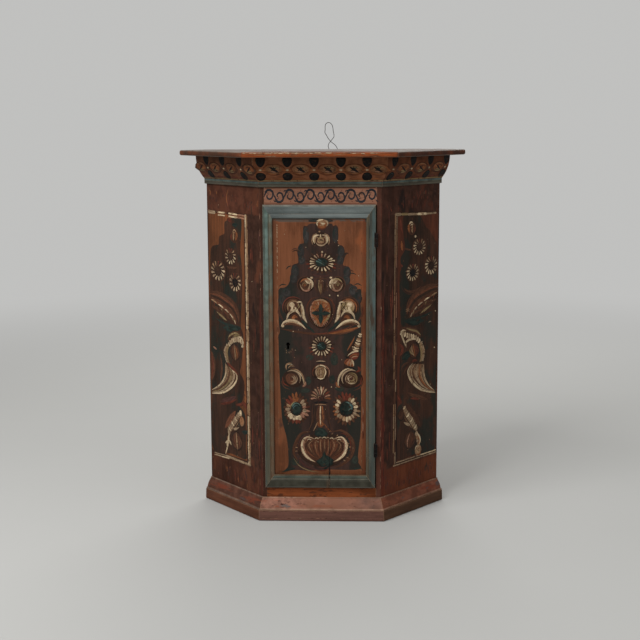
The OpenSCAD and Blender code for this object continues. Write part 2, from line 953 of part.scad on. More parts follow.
// Smooth curve through the points of a route
function spline(a, b, c, d, t) =
    0.5 * ((2 * b) + (c - a) * t + (2 * a - 5 * b + 4 * c - d) * t * t
           + (3 * b - a - 3 * c + d) * t * t * t);
function smooth_route(route, steps) =
    let (last = len(route) - 1)
    concat(
        [for (i = [0 : last - 1], k = [0 : steps - 1])
            spline(route[max(i - 1, 0)], route[i], route[i + 1], route[min(i + 2, last)], k / steps)],
        [route[last]]
    );
function unit(v) = v / norm(v);

// Round tube along a path that never runs straight towards the viewer
module tube(path, radius, sides) {
    last = len(path) - 1;
    rings = [
        for (i = [0 : last])
            let (ahead = unit(path[min(i + 1, last)] - path[max(i - 1, 0)]))
            let (across = unit(cross(ahead, [0, 1, 0])))
            let (depth = cross(across, ahead))
            for (k = [0 : sides - 1])
                path[i] + radius * (cos(360 * k / sides) * across + sin(360 * k / sides) * depth)
    ];
    walls = [
        for (i = [0 : last - 1], k = [0 : sides - 1])
            let (a = i * sides + k)
            let (b = i * sides + (k + 1) % sides)
            each [[a, b, b + sides], [a, b + sides, a + sides]]
    ];
    start = [[for (k = [sides - 1 : -1 : 0]) k]];
    end = [[for (k = [0 : sides - 1]) last * sides + k]];
    polyhedron(points = rings, faces = concat(walls, start, end), convexity = 6);
}

module hanging_wire() {
    color("#4b4743")
        placed()
            translate([0, corner_y - wire_in, carcass_h])
                tube([for (p = smooth_route(wire_route, wire_steps)) [p[0], -p[1], p[2]]],
                     wire_r, wire_sides);
}

module back_nails() {
    color("#3a3531") placed() all_wall_nails();
}

module top_nails() {
    color("#3a3531") placed() all_top_nails();
}

module batten_nails() {
    color("#3a3531") placed() all_batten_nails();
}

module lock_nails() {
    color("#3a3531") placed() all_lock_nails();
}

side_board_left();
side_board_right();
frieze_board();
bottom_rail();
door_stop();
deck_front(0);  // bottom_board_front
deck_rear(0);  // bottom_board_rear
deck_front(3);  // ceiling_board_front
deck_rear(3);  // ceiling_board_rear
deck_front(1);  // shelf_lower_front
deck_rear(1);  // shelf_lower_rear
deck_front(2);  // shelf_upper_front
deck_rear(2);  // shelf_upper_rear
back_plank_left(0);  // back_plank_left_1
back_plank_left(1);  // back_plank_left_2
back_plank_left(2);  // back_plank_left_3
back_plank_right(0);  // back_plank_right_1
back_plank_right(1);  // back_plank_right_2
back_plank_right(2);  // back_plank_right_3
corner_post();
top_board();
cornice_front();
cornice_left();
cornice_right();
base_moulding_front();
base_moulding_left();
base_moulding_right();
door_plank_left();
door_plank_right();
door_moulding_top();
door_moulding_bottom();
door_moulding_left();
door_moulding_right();
door_batten(door_top - batten_z);  // door_batten_top
door_batten(door_z + batten_z);  // door_batten_bottom
hinge_jamb_leaf(hinge_high_z);  // hinge_jamb_leaf_top
hinge_jamb_leaf(hinge_low_z);  // hinge_jamb_leaf_bottom
hinge_door_leaf(hinge_high_z);  // hinge_door_leaf_top
hinge_door_leaf(hinge_low_z);  // hinge_door_leaf_bottom
hinge_pin(hinge_high_z);  // hinge_pin_top
hinge_pin(hinge_low_z);  // hinge_pin_bottom
lock_case();
lock_bolt();
lock_stud();
lock_key_post();
lock_spring();
lock_keeper();
hanging_wire();
back_nails();
top_nails();
batten_nails();
lock_nails();
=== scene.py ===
import functools
import math
import random

import bmesh
import bpy
from mathutils import Matrix, Vector


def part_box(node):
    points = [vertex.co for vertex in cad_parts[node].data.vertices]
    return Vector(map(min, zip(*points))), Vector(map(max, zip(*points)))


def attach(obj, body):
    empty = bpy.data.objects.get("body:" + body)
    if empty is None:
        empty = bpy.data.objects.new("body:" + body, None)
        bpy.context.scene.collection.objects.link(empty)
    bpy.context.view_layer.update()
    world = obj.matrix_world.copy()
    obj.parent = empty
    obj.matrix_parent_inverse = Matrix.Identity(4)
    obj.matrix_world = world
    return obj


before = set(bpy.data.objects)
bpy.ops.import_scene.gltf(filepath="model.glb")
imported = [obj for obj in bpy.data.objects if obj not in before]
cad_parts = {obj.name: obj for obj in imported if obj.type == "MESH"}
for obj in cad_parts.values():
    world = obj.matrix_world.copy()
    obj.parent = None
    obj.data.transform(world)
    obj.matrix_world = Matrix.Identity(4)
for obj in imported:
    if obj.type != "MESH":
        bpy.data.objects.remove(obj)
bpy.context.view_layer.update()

MM = 0.001

# Planes of the front and of the door's raised field, taken from the frame
FRONT_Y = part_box("frieze_board")[0].y
FIELD_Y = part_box("door_plank_left")[0].y
# Half the width of the front between its two corners, and the angle between the front and a side
HALF_FRONT = 0.160
SIDE_ANGLE = math.radians(50)
BACK_TURN = {"left": SIDE_ANGLE, "right": -SIDE_ANGLE}

# Camera of the photograph. Its turns are in radians.
IMAGE_PX = 640
FOCAL_PX = 1250
SENSOR = 36
CAMERA_AT = Vector((0.1167, FRONT_Y - 3.3014, 1.0935))
CAMERA_YAW = -0.036
CAMERA_PITCH = 0.162
CAMERA_ROLL = -0.004

# Lamps: azimuth and elevation in degrees, distance and size in metres, and light level
LAMPS = {"key": (-38, 42, 3.6, 2.0, 0.80), "fill": (55, 20, 3.4, 2.2, 0.16),
         "back": (170, 40, 3.6, 2.4, 0.45)}
LAMP_AIM = Vector((0, 0, 0.5))

# Sky and floor. The floor fades into the sky between two distances.
SKY_LEVEL = 0.42
SKY_COLOUR = (1, 0.99, 0.97)
STAGE_COLOUR = (0.53, 0.53, 0.52)
FLOOR_COLOUR = (0.46, 0.46, 0.445)
FLOOR_RADIUS = 14.0
FLOOR_FADE = (1.3, 4.5)

# Specular level of all paint, wood and iron
SHEEN = 0.05


def set_camera():
    """Places the camera where the photograph was taken from."""
    yaw, pitch, roll = CAMERA_YAW, CAMERA_PITCH, CAMERA_ROLL
    ahead = Vector((math.sin(yaw) * math.cos(pitch), math.cos(yaw) * math.cos(pitch), -math.sin(pitch)))
    right = Vector((math.cos(yaw), -math.sin(yaw), 0))
    up = right.cross(ahead)
    turned_right = math.cos(roll) * right + math.sin(roll) * up
    turned_up = math.cos(roll) * up - math.sin(roll) * right
    camera = bpy.data.objects.new("camera", bpy.data.cameras.new("camera"))
    camera.data.sensor_fit = "HORIZONTAL"
    camera.data.sensor_width = SENSOR
    camera.data.lens = FOCAL_PX * SENSOR / IMAGE_PX
    camera.data.clip_end = 60
    camera.matrix_world = Matrix.Translation(CAMERA_AT) @ Matrix(
        (turned_right, turned_up, -ahead)).transposed().to_4x4()
    bpy.context.scene.collection.objects.link(camera)
    bpy.context.scene.camera = camera


def add_lamp(name, azimuth, elevation, distance, size, level):
    """An area lamp aimed at the cupboard. A level of 1 lights a facing surface to its own colour."""
    a, e = math.radians(azimuth), math.radians(elevation)
    away = Vector((math.sin(a) * math.cos(e), -math.cos(a) * math.cos(e), math.sin(e)))
    data = bpy.data.lights.new(name, "AREA")
    data.size = size
    data.energy = level * (math.pi * distance) ** 2
    lamp = bpy.data.objects.new(name, data)
    lamp.location = LAMP_AIM + away * distance
    lamp.rotation_euler = away.to_track_quat("Z", "Y").to_euler()
    bpy.context.scene.collection.objects.link(lamp)


def set_stage():
    """Pale floor, plain sky and soft lamps."""
    scene = bpy.context.scene
    scene.view_settings.view_transform = "Standard"
    world = bpy.data.worlds.new("studio")
    scene.world = world
    world.use_nodes = True
    nodes, links = world.node_tree.nodes, world.node_tree.links
    sky = nodes["Background"]
    sky.inputs["Color"].default_value = (*SKY_COLOUR, 1)
    sky.inputs["Strength"].default_value = SKY_LEVEL
    seen = nodes.new("ShaderNodeBackground")
    seen.inputs["Color"].default_value = (*STAGE_COLOUR, 1)
    rays = nodes.new("ShaderNodeLightPath").outputs
    direct = rays["Is Camera Ray"]
    for kind in ("Is Glossy Ray", "Is Transmission Ray"):
        either = nodes.new("ShaderNodeMath")
        either.operation = "MAXIMUM"
        links.new(direct, either.inputs[0])
        links.new(rays[kind], either.inputs[1])
        direct = either.outputs[0]
    choose = nodes.new("ShaderNodeMixShader")
    links.new(direct, choose.inputs[0])
    links.new(sky.outputs[0], choose.inputs[1])
    links.new(seen.outputs[0], choose.inputs[2])
    links.new(choose.outputs[0], nodes["World Output"].inputs["Surface"])

    mesh = bpy.data.meshes.new("floor")
    disc = bmesh.new()
    bmesh.ops.create_circle(disc, cap_ends=True, segments=96, radius=FLOOR_RADIUS)
    disc.to_mesh(mesh)
    disc.free()
    floor = bpy.data.objects.new("floor", mesh)
    scene.collection.objects.link(floor)
    mesh.materials.append(floor_material())

    for name, lamp in LAMPS.items():
        add_lamp(name, *lamp)


def floor_material():
    """Pale floor that keeps the shadow near the cupboard and fades into the sky far away."""
    g = Graph("floor")
    cloud = g.noise(g.place(stretch=(2, 2, 2)), detail=2)
    darker = tuple(0.97 * c for c in FLOOR_COLOUR)
    g.finish(g.mix(cloud, darker, FLOOR_COLOUR), roughness=0.9)
    away = g.vector("LENGTH", g.spot(), output="Value")
    seen = g.node("LightPath").outputs["Is Camera Ray"]
    far = g.times(g.step(away, *FLOOR_FADE), seen)
    glow = g.node("Emission", {"Color": STAGE_COLOUR}).outputs[0]
    blend = g.node("MixShader", {0: far, 1: g.shader.outputs[0], 2: glow}).outputs[0]
    g.put(g.tree.nodes["Material Output"].inputs["Surface"], blend)
    return g.material


class Graph:
    """A material's node tree, built with short calls: values or sockets go in, a socket comes out."""

    def __init__(self, name):
        self.material = bpy.data.materials.new(name)
        self.material.use_nodes = True
        self.tree = self.material.node_tree
        self.shader = self.tree.nodes["Principled BSDF"]

    def put(self, socket, value):
        """Links a socket into another one, or sets it to a number, a vector or a colour."""
        if isinstance(value, bpy.types.NodeSocket):
            self.tree.links.new(value, socket)
        elif hasattr(value, "__len__") and len(socket.default_value) == 4:
            socket.default_value = (*value[:3], 1)
        else:
            socket.default_value = value

    def node(self, kind, inputs=(), **settings):
        """Adds a shader node with its settings, and puts its inputs."""
        node = self.tree.nodes.new("ShaderNode" + kind)
        for key, value in settings.items():
            setattr(node, key, value)
        for key, value in dict(inputs).items():
            self.put(node.inputs[key], value)
        return node

    def math(self, operation, a, b=0.0):
        """One sum on numbers."""
        return self.node("Math", {0: a, 1: b}, operation=operation).outputs[0]

    def plus(self, a, b):
        return self.math("ADD", a, b)

    def minus(self, a, b):
        return self.math("SUBTRACT", a, b)

    def times(self, a, b):
        return self.math("MULTIPLY", a, b)

    def vector(self, operation, a, b=(0, 0, 0), output=0):
        """One sum on vectors."""
        return self.node("VectorMath", {0: a, 1: b}, operation=operation).outputs[output]

    def spot(self):
        """The point in the frame that is shaded, with the part at rest."""
        return self.node("TexCoord").outputs["Object"]

    def step(self, value, low, high, bottom=0.0, top=1.0):
        """A smooth step of value from bottom at low to top at high."""
        inputs = {0: value, 1: low, 2: high, 3: bottom, 4: top}
        return self.node("MapRange", inputs, interpolation_type="SMOOTHSTEP").outputs[0]

    def mix(self, factor, a, b, blend="MIX"):
        """Colour a, covered by colour b as far as factor says."""
        return self.node("Mix", {0: factor, 6: a, 7: b}, data_type="RGBA", blend_type=blend).outputs[2]

    def turned(self, grain):
        """The point with x along the grain: along x or z, or along a left or right side length."""
        if grain == "x":
            return self.spot()
        turn, axis = (math.pi / 2, "Y_AXIS") if grain == "z" else (BACK_TURN[grain], "Z_AXIS")
        inputs = {"Vector": self.spot(), "Angle": turn}
        return self.node("VectorRotate", inputs, rotation_type=axis).outputs[0]

    def place(self, grain="x", stretch=(1, 1, 1), shift=(0, 0, 0)):
        """The point turned to the grain, stretched per metre and shifted."""
        return self.vector("ADD", self.vector("MULTIPLY", self.turned(grain), stretch), shift)

    def noise(self, spot, detail=3.0, rough=0.55, twist=0.0):
        """Cloudy pattern with a middle of 0.5, about one cloud to each unit of spot."""
        inputs = {"Vector": spot, "Scale": 1.0, "Detail": detail, "Roughness": rough, "Distortion": twist}
        return self.node("TexNoise", inputs).outputs[0]

    def across(self):
        """Place across the cupboard, from its middle to the right."""
        return self.node("SeparateXYZ", {0: self.spot()}).outputs[0]

    def height(self):
        """Height above the floor at rest."""
        return self.node("SeparateXYZ", {0: self.spot()}).outputs[2]

    def edges(self, radius):
        """1 along the edges of a solid and 0 on its flat faces."""
        rounded = self.node("Bevel", {"Radius": radius}, samples=4).outputs[0]
        flat = self.node("NewGeometry").outputs["Normal"]
        same = self.vector("DOT_PRODUCT", rounded, flat, "Value")
        return self.step(same, 0.80, 0.995, 1.0, 0.0)

    def facing(self, direction, low, high):
        """1 on faces that look along direction and 0 on the others."""
        normal = self.node("TexCoord").outputs["Normal"]
        return self.step(self.vector("DOT_PRODUCT", normal, direction, "Value"), low, high)

    def finish(self, colour, roughness=0.6, bump=None, depth=0.3, reach=0.001, metallic=0.0, rounding=0.0):
        """Fills in the shader. depth is the share of the bump, and reach its height in metres."""
        self.put(self.shader.inputs["Base Color"], colour)
        self.put(self.shader.inputs["Roughness"], roughness)
        self.put(self.shader.inputs["Metallic"], metallic)
        self.put(self.shader.inputs["Specular IOR Level"], SHEEN)
        inputs = {}
        if rounding:
            inputs["Normal"] = self.node("Bevel", {"Radius": rounding}, samples=4).outputs[0]
        if bump is not None:
            inputs |= {"Height": bump, "Strength": depth, "Distance": reach}
            self.put(self.shader.inputs["Normal"], self.node("Bump", inputs).outputs["Normal"])
        return self.material


# Bare wood, darkest to lightest
PINE = ((0.100, 0.052, 0.024), (0.205, 0.118, 0.058), (0.300, 0.185, 0.098))
BACK_PINE = ((0.070, 0.042, 0.024), (0.150, 0.096, 0.056), (0.235, 0.160, 0.100))
# Pale colour of rubbed edges: worn paint, and partly a painted highlight along the arrises
WORN_EDGE_AND_HIGHLIGHT = (0.260, 0.150, 0.085)
RUBBED_IRON = (0.16, 0.14, 0.125)


def bare_wood_colour(g, grain, tones):
    """Growth rings drawn out along the grain, fine fibres and grime. Returns the colour and the bump."""
    drawn = g.noise(g.place(grain, (0.9, 13, 13), (3.1, 1.7, 0.4)), detail=2, twist=0.35)
    rings = g.math("FRACT", g.times(drawn, 11.0))
    ring = g.times(g.step(rings, 0.35, 0.92), g.step(rings, 1.0, 0.93, 0.0, 1.0))
    fibre = g.noise(g.place(grain, (14, 420, 420)), detail=2)
    cloud = g.noise(g.place(grain, (2.5, 7, 7)), detail=4)
    colour = g.mix(ring, tones[2], tones[0])
    colour = g.mix(g.step(fibre, 0.3, 0.7, 0.0, 0.55), colour, tones[1])
    colour = g.mix(g.step(cloud, 0.42, 0.66, 0.0, 0.55), colour, tones[0])
    bump = g.plus(g.times(fibre, 0.6), g.times(ring, -0.4))
    return colour, bump


def bare_wood(name, grain, tones):
    """Bare pine with darkened edges."""
    g = Graph(name)
    colour, bump = bare_wood_colour(g, grain, tones)
    worn = g.edges(0.002)
    colour = g.mix(g.times(worn, 0.35), colour, tones[0])
    return g.finish(colour, roughness=0.78, bump=bump, depth=0.45, reach=0.0012, rounding=0.0008)


def painted_colour(g, grain, tones, seed):
    """Old distemper: brushed along the grain, blotched and rubbed. Returns the colour and the brush marks."""
    blotch = g.noise(g.place(grain, (5, 14, 14), (seed, 0, 0)), detail=5, rough=0.6)
    brushed = g.noise(g.place(grain, (9, 190, 190), (0, seed, 0)), detail=3)
    speck = g.noise(g.place(grain, (210, 330, 330), (0, 0, seed)), detail=2)
    dark, middle, light = tones
    colour = g.mix(g.step(blotch, 0.36, 0.52), dark, middle)
    for marks, low, high, share, tone in ((blotch, 0.52, 0.70, 0.9, light), (brushed, 0.45, 0.72, 0.55, dark),
                                          (brushed, 0.50, 0.24, 0.5, light), (speck, 0.62, 0.74, 0.6, dark),
                                          (speck, 0.36, 0.24, 0.6, light)):
        colour = g.mix(g.step(marks, low, high, 0.0, share), colour, tone)
    return colour, brushed


def painted_wood(name, grain, tones, edge=WORN_EDGE_AND_HIGHLIGHT, wear=0.6, cover=-0.5, bare=PINE, seed=0.0, over=()):
    """Painted in front and bare behind. cover is the least facing to the front that is painted.
    over holds changes of the paint, such as zones, patches and strips, in the order of their coats."""
    g = Graph(name)
    colour, brushed = painted_colour(g, grain, tones, seed)
    for change in over:
        colour = change(g, colour)
    rub = g.noise(g.place(grain, (30, 75, 75), (seed, seed, 0)), detail=4, rough=0.65)
    # Rubbed edges in the edge colour: worn paint, and partly a painted highlight along the arrises
    worn = g.times(g.edges(0.0022), g.step(rub, 0.62 - 0.3 * wear, 0.72 - 0.22 * wear))
    colour = g.mix(g.times(worn, 0.85), colour, edge)
    chip = g.step(rub, 0.755 - 0.03 * wear, 0.775 - 0.03 * wear)
    colour = g.mix(g.times(chip, 0.7), colour, edge)
    wood, fibre = bare_wood_colour(g, grain, bare)
    painted = g.facing((0, -1, 0), cover, cover + 0.15)
    colour = g.mix(painted, wood, colour)
    height = g.plus(g.times(brushed, 0.5), g.times(fibre, 0.5))
    height = g.minus(height, g.times(chip, 0.8))
    gloss = g.step(rub, 0.3, 0.7, 0.46, 0.66)
    return g.finish(colour, roughness=gloss, bump=height, depth=0.35, reach=0.001, rounding=0.001)


def iron(name, dark, rust):
    """Forged iron with patches of rust and rubbed edges."""
    g = Graph(name)
    patch = g.noise(g.place(stretch=(70, 70, 70)), detail=5, rough=0.65)
    grit = g.noise(g.place(stretch=(900, 900, 900)), detail=2)
    colour = g.mix(g.step(patch, 0.42, 0.68), dark, rust)
    colour = g.mix(g.step(grit, 0.55, 0.75, 0.0, 0.6), colour, dark)
    rubbed = g.times(g.edges(0.0012), 0.35)
    colour = g.mix(rubbed, colour, RUBBED_IRON)
    height = g.plus(patch, g.times(grit, 0.4))
    return g.finish(colour, roughness=g.step(patch, 0.3, 0.7, 0.5, 0.8), bump=height, depth=0.5, reach=0.0006,
                    metallic=0.55)


def tones(mid, low=0.62, high=1.35):
    """Darkest, middle and lightest tone of a paint."""
    return (tuple(c * low for c in mid), mid, tuple(c * high for c in mid))


def at_height(levels, ragged=0.02):
    """Repaints by height: levels are (height, softness, colour), and each colour holds above its height."""
    def over(g, colour):
        wobble = g.noise(g.place(stretch=(25, 25, 25)), detail=3)
        z = g.plus(g.height(), g.times(g.minus(wobble, 0.5), ragged))
        blotch = g.noise(g.place(stretch=(40, 40, 40), shift=(4, 2, 9)), detail=4)
        shade = g.step(blotch, 0.35, 0.65, 0.72, 1.25)
        for level, softness, tint in levels:
            toned = g.mix(1.0, tint, shade, "MULTIPLY")
            colour = g.mix(g.step(z, level - softness, level + softness), colour, toned)
        return colour
    return over


def patches(tint, stretch, amount, shift, low=-1.0, high=9.0):
    """Blotches of another tone between two heights. amount is about the share that they take."""
    def over(g, colour):
        cloud = g.noise(g.place(stretch=stretch, shift=shift), detail=4, rough=0.6)
        inside = g.times(g.step(g.height(), low - 0.002, low + 0.002),
                        g.step(g.height(), high + 0.002, high - 0.002))
        here = g.times(inside, g.step(cloud, 0.64 - 0.3 * amount, 0.72 - 0.3 * amount))
        return g.mix(here, colour, tint)
    return over


def strip(first, last, tint, below=9.0, soft=0.0012, above=-9.0):
    """Repaints what lies between two places across the cupboard and between two heights."""
    def over(g, colour):
        place = g.across()
        wobble = g.noise(g.place(stretch=(30, 30, 30)), detail=3)
        across = g.plus(place, g.times(g.minus(wobble, 0.5), 0.6 * soft))
        inside = g.times(g.step(across, first - soft, first + soft),
                        g.step(across, last + soft, last - soft))
        inside = g.times(inside, g.step(g.height(), below + 0.04, below - 0.04))
        inside = g.times(inside, g.step(g.height(), above - 0.001, above + 0.001))
        faded = g.step(wobble, 0.30, 0.62, 1.0, 0.45)
        return g.mix(g.times(inside, faded), colour, tint)
    return over


def shade_in_keyhole(u, z, radius):
    """Painted shade: blackens an upright oval round a hole in the door, its walls too, so that the hole is
    dark inside.
    """
    def over(g, colour):
        away = g.vector("SUBTRACT", g.spot(), (u, 0, z))
        apart = g.vector("LENGTH", g.vector("MULTIPLY", away, (1, 0, 0.55)), output="Value")
        return g.mix(g.step(apart, radius, 1.5 * radius, 1.0, 0.0), colour, KEYHOLE_SHADE)
    return over


def dress(names, material):
    """Gives a material to the CAD nodes with these names, or with names that start with one of them."""
    for name in names:
        for full_name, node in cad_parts.items():
            if full_name != name and not full_name.startswith(name + "_"):
                continue
            if not node.material_slots:
                node.data.materials.append(material)
            for slot in node.material_slots:
                slot.material = material


# Paints by their middle tone. Where the sides differ, each has its own.
SIDE_PAINT = (0.039, 0.017, 0.011)
SIDE_ABOVE = {"left": (0.074, 0.026, 0.015), "right": (0.049, 0.020, 0.013)}
SIDE_BELOW = {"left": (0.053, 0.018, 0.010), "right": (0.102, 0.029, 0.0125)}
SIDE_GLOW = {"left": (0.086, 0.030, 0.016), "right": (0.082, 0.023, 0.012)}
SIDE_GRIME = (0.018, 0.010, 0.008)
STILE_PAINT = {"left": (0.048, 0.020, 0.013), "right": (0.090, 0.036, 0.024)}
RUBBED_RED = (0.088, 0.016, 0.010)
FRIEZE_PAINT = (0.255, 0.118, 0.074)
RAIL_PAINT = (0.192, 0.053, 0.018)
RAIL_GRIME = (0.085, 0.028, 0.013)
BAND_PAINT = (0.080, 0.072, 0.054)
# Dark line of painted shadow below the blue-green fillet of the cornice
BAND_SHADOW_LINE = (0.020, 0.018, 0.015)
BAND_TEAL = (0.062, 0.088, 0.080)
CORNICE_PAINT = {"front": (0.178, 0.066, 0.031), "left": (0.104, 0.039, 0.019),
                 "right": (0.098, 0.032, 0.014)}
TOP_PAINT = (0.215, 0.050, 0.014)
TOP_BARE = (0.116, 0.090, 0.072)
TOP_TIP = {"left": (0.050, 0.024, 0.015), "right": (0.044, 0.019, 0.013)}
PLINTH_PAINT = {"front": (0.126, 0.059, 0.044), "left": (0.087, 0.032, 0.017),
                "right": (0.070, 0.034, 0.019)}
SLOPE_PAINT = {"front": (0.250, 0.114, 0.078), "left": (0.088, 0.036, 0.023),
               "right": (0.130, 0.044, 0.025)}
# Pale bands on the bead and the top arris of the base moulding: painted highlight
ARRIS_HIGHLIGHT = {"front": (0.300, 0.180, 0.125), "left": (0.150, 0.098, 0.074), "right": (0.160, 0.085, 0.058)}
BASE_RED = {"front": (0.240, 0.070, 0.034), "left": (0.130, 0.034, 0.018), "right": (0.130, 0.034, 0.018)}
BASE_BLOOM = {"front": (0.135, 0.100, 0.088), "left": (0.075, 0.050, 0.046), "right": (0.075, 0.050, 0.046)}
BASE_SPECK = (0.050, 0.022, 0.016)
BASE_BROWN = (0.215, 0.095, 0.060)
BASE_DULL = (0.120, 0.064, 0.048)
CREAM = (0.300, 0.220, 0.150)
# Black of the painted shade inside the keyhole
KEYHOLE_SHADE = (0.008, 0.006, 0.005)

# Paints of the door's planks, with patches of painted light high on the field and a grey band of dirt and
# painted shade at its top under the moulding
DOOR_PAINT = (0.158, 0.058, 0.027)
DOOR_DIRT = (0.062, 0.030, 0.020)
DOOR_PAINTED_LIGHT = (0.205, 0.066, 0.027)
DOOR_LOW_GLOW = (0.170, 0.058, 0.026)
DOOR_GREY_DIRT_AND_SHADE = (0.080, 0.058, 0.045)
# Rims of the raised field beside the moulding; the right one is a dark red line of painted shade
RIM_PAINT_AND_SHADE = {"left": (0.105, 0.040, 0.020), "right": (0.150, 0.038, 0.018)}

# Paints of the door's moulding
TEAL = (0.100, 0.140, 0.122)
FADED_TEAL = (0.092, 0.092, 0.066)
OLIVE = (0.088, 0.080, 0.056)
DARK_OLIVE = (0.066, 0.072, 0.060)
SLATE = (0.122, 0.140, 0.135)
PALE_SLATE = (0.165, 0.165, 0.140)
BOTTLE = (0.040, 0.038, 0.028)
MOULDING_FOOT = (0.082, 0.076, 0.064)
MOULDING_FLAT = (0.092, 0.096, 0.078)
MOULDING_HOLLOW = (0.064, 0.076, 0.062)
MOULDING_GRIME = (0.050, 0.036, 0.026)
BEAD_BROWN = (0.120, 0.062, 0.034)
BEAD_PALE = {"left": (0.098, 0.084, 0.058), "right": (0.105, 0.080, 0.048)}
BEAD_DARK = (0.080, 0.055, 0.034)
EDGE_PAINT = {"left": (0.06, 0.07, 0.058), "right": (0.072, 0.104, 0.102)}
EDGE_SOILED = (0.050, 0.054, 0.043)
CRACK_BLACK = (0.003, 0.002, 0.002)
CRACK_BROWN = (0.120, 0.058, 0.030)

# Iron: dark and rusty tone
FORGED_IRON = ((0.009, 0.008, 0.008), (0.030, 0.017, 0.012))
WIRE_IRON = ((0.022, 0.021, 0.021), (0.060, 0.045, 0.036))
NAIL_IRON = ((0.035, 0.027, 0.022), (0.090, 0.040, 0.020))

# Heights and places at which the colour changes, in metres
SIDE_PANEL_FOOT = 0.134
SIDE_PANEL_TOP = 0.834
BAND_TOP = 0.9225
BASE_BEAD = (0.030, 0.034)
BASE_SPECK_FOOT = 0.036
BASE_SLOPE = (0.038, 0.054)
BASE_ARRIS = 0.0602
BASE_BROWNED = (-0.06, 0.10)
BASE_DULLED = (0.105, 0.19)
STILE_BEAD = {"left": (-0.1395, -0.1280), "right": (0.1225, 0.1290)}
STILE_EDGE = {"left": (-0.1535, -0.1475), "right": (0.1370, 0.1465)}
FRONT_STILE = {"left": (-0.1625, -0.1500), "right": (0.1460, 0.1625)}
CORNER_RED_TOP = 0.60
GRIME_FOOT = 0.14
CORNER_RED = {"left": (-0.1640, -0.1615), "right": (0.1640, 0.1700)}
FIELD_RIM = {"left": (-0.1280, -0.1165), "right": (0.1140, 0.1170)}
# Painted shadow line of the cornice: its foot and its top
CORNICE_SHADOW_LINE = (0.9140, 0.9150)
CORNICE_FILLET = 0.9180
TOP_TIPS = {"left": (-0.5, -0.199), "right": (0.199, 0.5)}
DOOR_PAINTED_LIGHT_FOOT = 0.63
DOOR_PAINTED_LIGHT_TOP = 0.80
DOOR_LOW_GLOW_TOP = 0.24
DOOR_DIRT_AND_SHADE_FOOT = 0.8165
TEAL_FADED_FOOT = 0.30
TEAL_FOOT = 0.62
SOILED_TOP = 0.40
TOP_LENGTH_STEP = 0.8575
FOOT_LENGTH_STEPS = (0.0930, 0.1130, 0.1180, 0.1235)
# Crack in the bottom length of the door's moulding: half its width, and its stain's width and top
CRACK_HALF = 0.0020
CRACK_STAIN = 0.006
CRACK_STAIN_TOP = 0.105


def dress_sides():
    """Dark red side boards, with a stile beside the door and a front corner rubbed red."""
    for side in ("left", "right"):
        levels = [(SIDE_PANEL_FOOT, 0.006, SIDE_PAINT), (SIDE_PANEL_TOP, 0.003, SIDE_ABOVE[side])]
        zones = at_height(levels, 0.010)
        glow = patches(SIDE_GLOW[side], (9, 9, 7), 0.22, (3, 1, 5))
        grime = patches(SIDE_GRIME, (12, 12, 5), 0.30, (7, 4, 2), low=GRIME_FOOT)
        stile = strip(*FRONT_STILE[side], STILE_PAINT[side], soft=0.0016)
        worn_red = strip(*CORNER_RED[side], RUBBED_RED, below=CORNER_RED_TOP, soft=0.0025)
        paint = painted_wood(f"side_paint_{side}", "z", tones(SIDE_BELOW[side]), wear=0.5, cover=0.2,
                             seed=1.3, over=(zones, glow, grime, stile, worn_red))
        dress([f"side_board_{side}"], paint)


def dress_cornice(side, grain):
    """Dark line of painted shadow, blue-green fillet, and the cove in its own colour."""
    zones = at_height([(CORNICE_SHADOW_LINE[0], 0.0004, BAND_SHADOW_LINE), (CORNICE_SHADOW_LINE[1], 0.0005, BAND_PAINT),
                       (CORNICE_FILLET, 0.0008, BAND_TEAL), (BAND_TOP, 0.001, CORNICE_PAINT[side])], 0.0016)
    dress([f"cornice_{side}"], painted_wood(f"cornice_paint_{side}", grain, tones(BAND_PAINT), seed=2.1,
                                            over=(zones,)))


def dress_base(side, grain):
    """Base moulding: bead and top arris made pale as painted highlight, and a slope with red, bloomed,
    specked and dulled places.
    """
    bead_foot, bead_top = BASE_BEAD
    slope_foot, slope_top = BASE_SLOPE
    # Bead and top arris pale as painted highlight
    over = [at_height([(bead_foot, 0.0007, ARRIS_HIGHLIGHT[side]), (bead_top, 0.0010, SLOPE_PAINT[side]),
                       (BASE_ARRIS, 0.0006, ARRIS_HIGHLIGHT[side])], 0.0015),
            patches(BASE_RED[side], (9, 9, 60), 0.35, (2, 5, 1), low=slope_foot, high=slope_top),
            patches(BASE_BLOOM[side], (14, 14, 40), 0.13, (8, 1, 6), low=bead_foot),
            patches(BASE_SPECK, (90, 90, 260), 0.20, (5, 5, 5), low=BASE_SPECK_FOOT)]
    if side == "front":
        over += [strip(*BASE_BROWNED, BASE_BROWN, soft=0.03, above=bead_top),
                 strip(*BASE_DULLED, BASE_DULL, soft=0.02, above=bead_top)]
    dress([f"base_moulding_{side}"], painted_wood(f"base_paint_{side}", grain, tones(PLINTH_PAINT[side]),
                                                  seed=6.1, wear=1.0, over=over))


def dress_mouldings():
    """Cornice, base and top board. The tips of the top board are darkened by two coats."""
    for side in ("front", "left", "right"):
        grain = "x" if side == "front" else side
        dress_cornice(side, grain)
        dress_base(side, grain)
    tips = [strip(*TOP_TIPS[side], TOP_TIP[side], soft=0.004) for side in ("left", "right")]
    dress(["top_board"], painted_wood("top_paint", "x", tones(TOP_PAINT), edge=CREAM, seed=7.7, cover=0.3,
                                      wear=1.1, bare=tones(TOP_BARE), over=tips * 2))


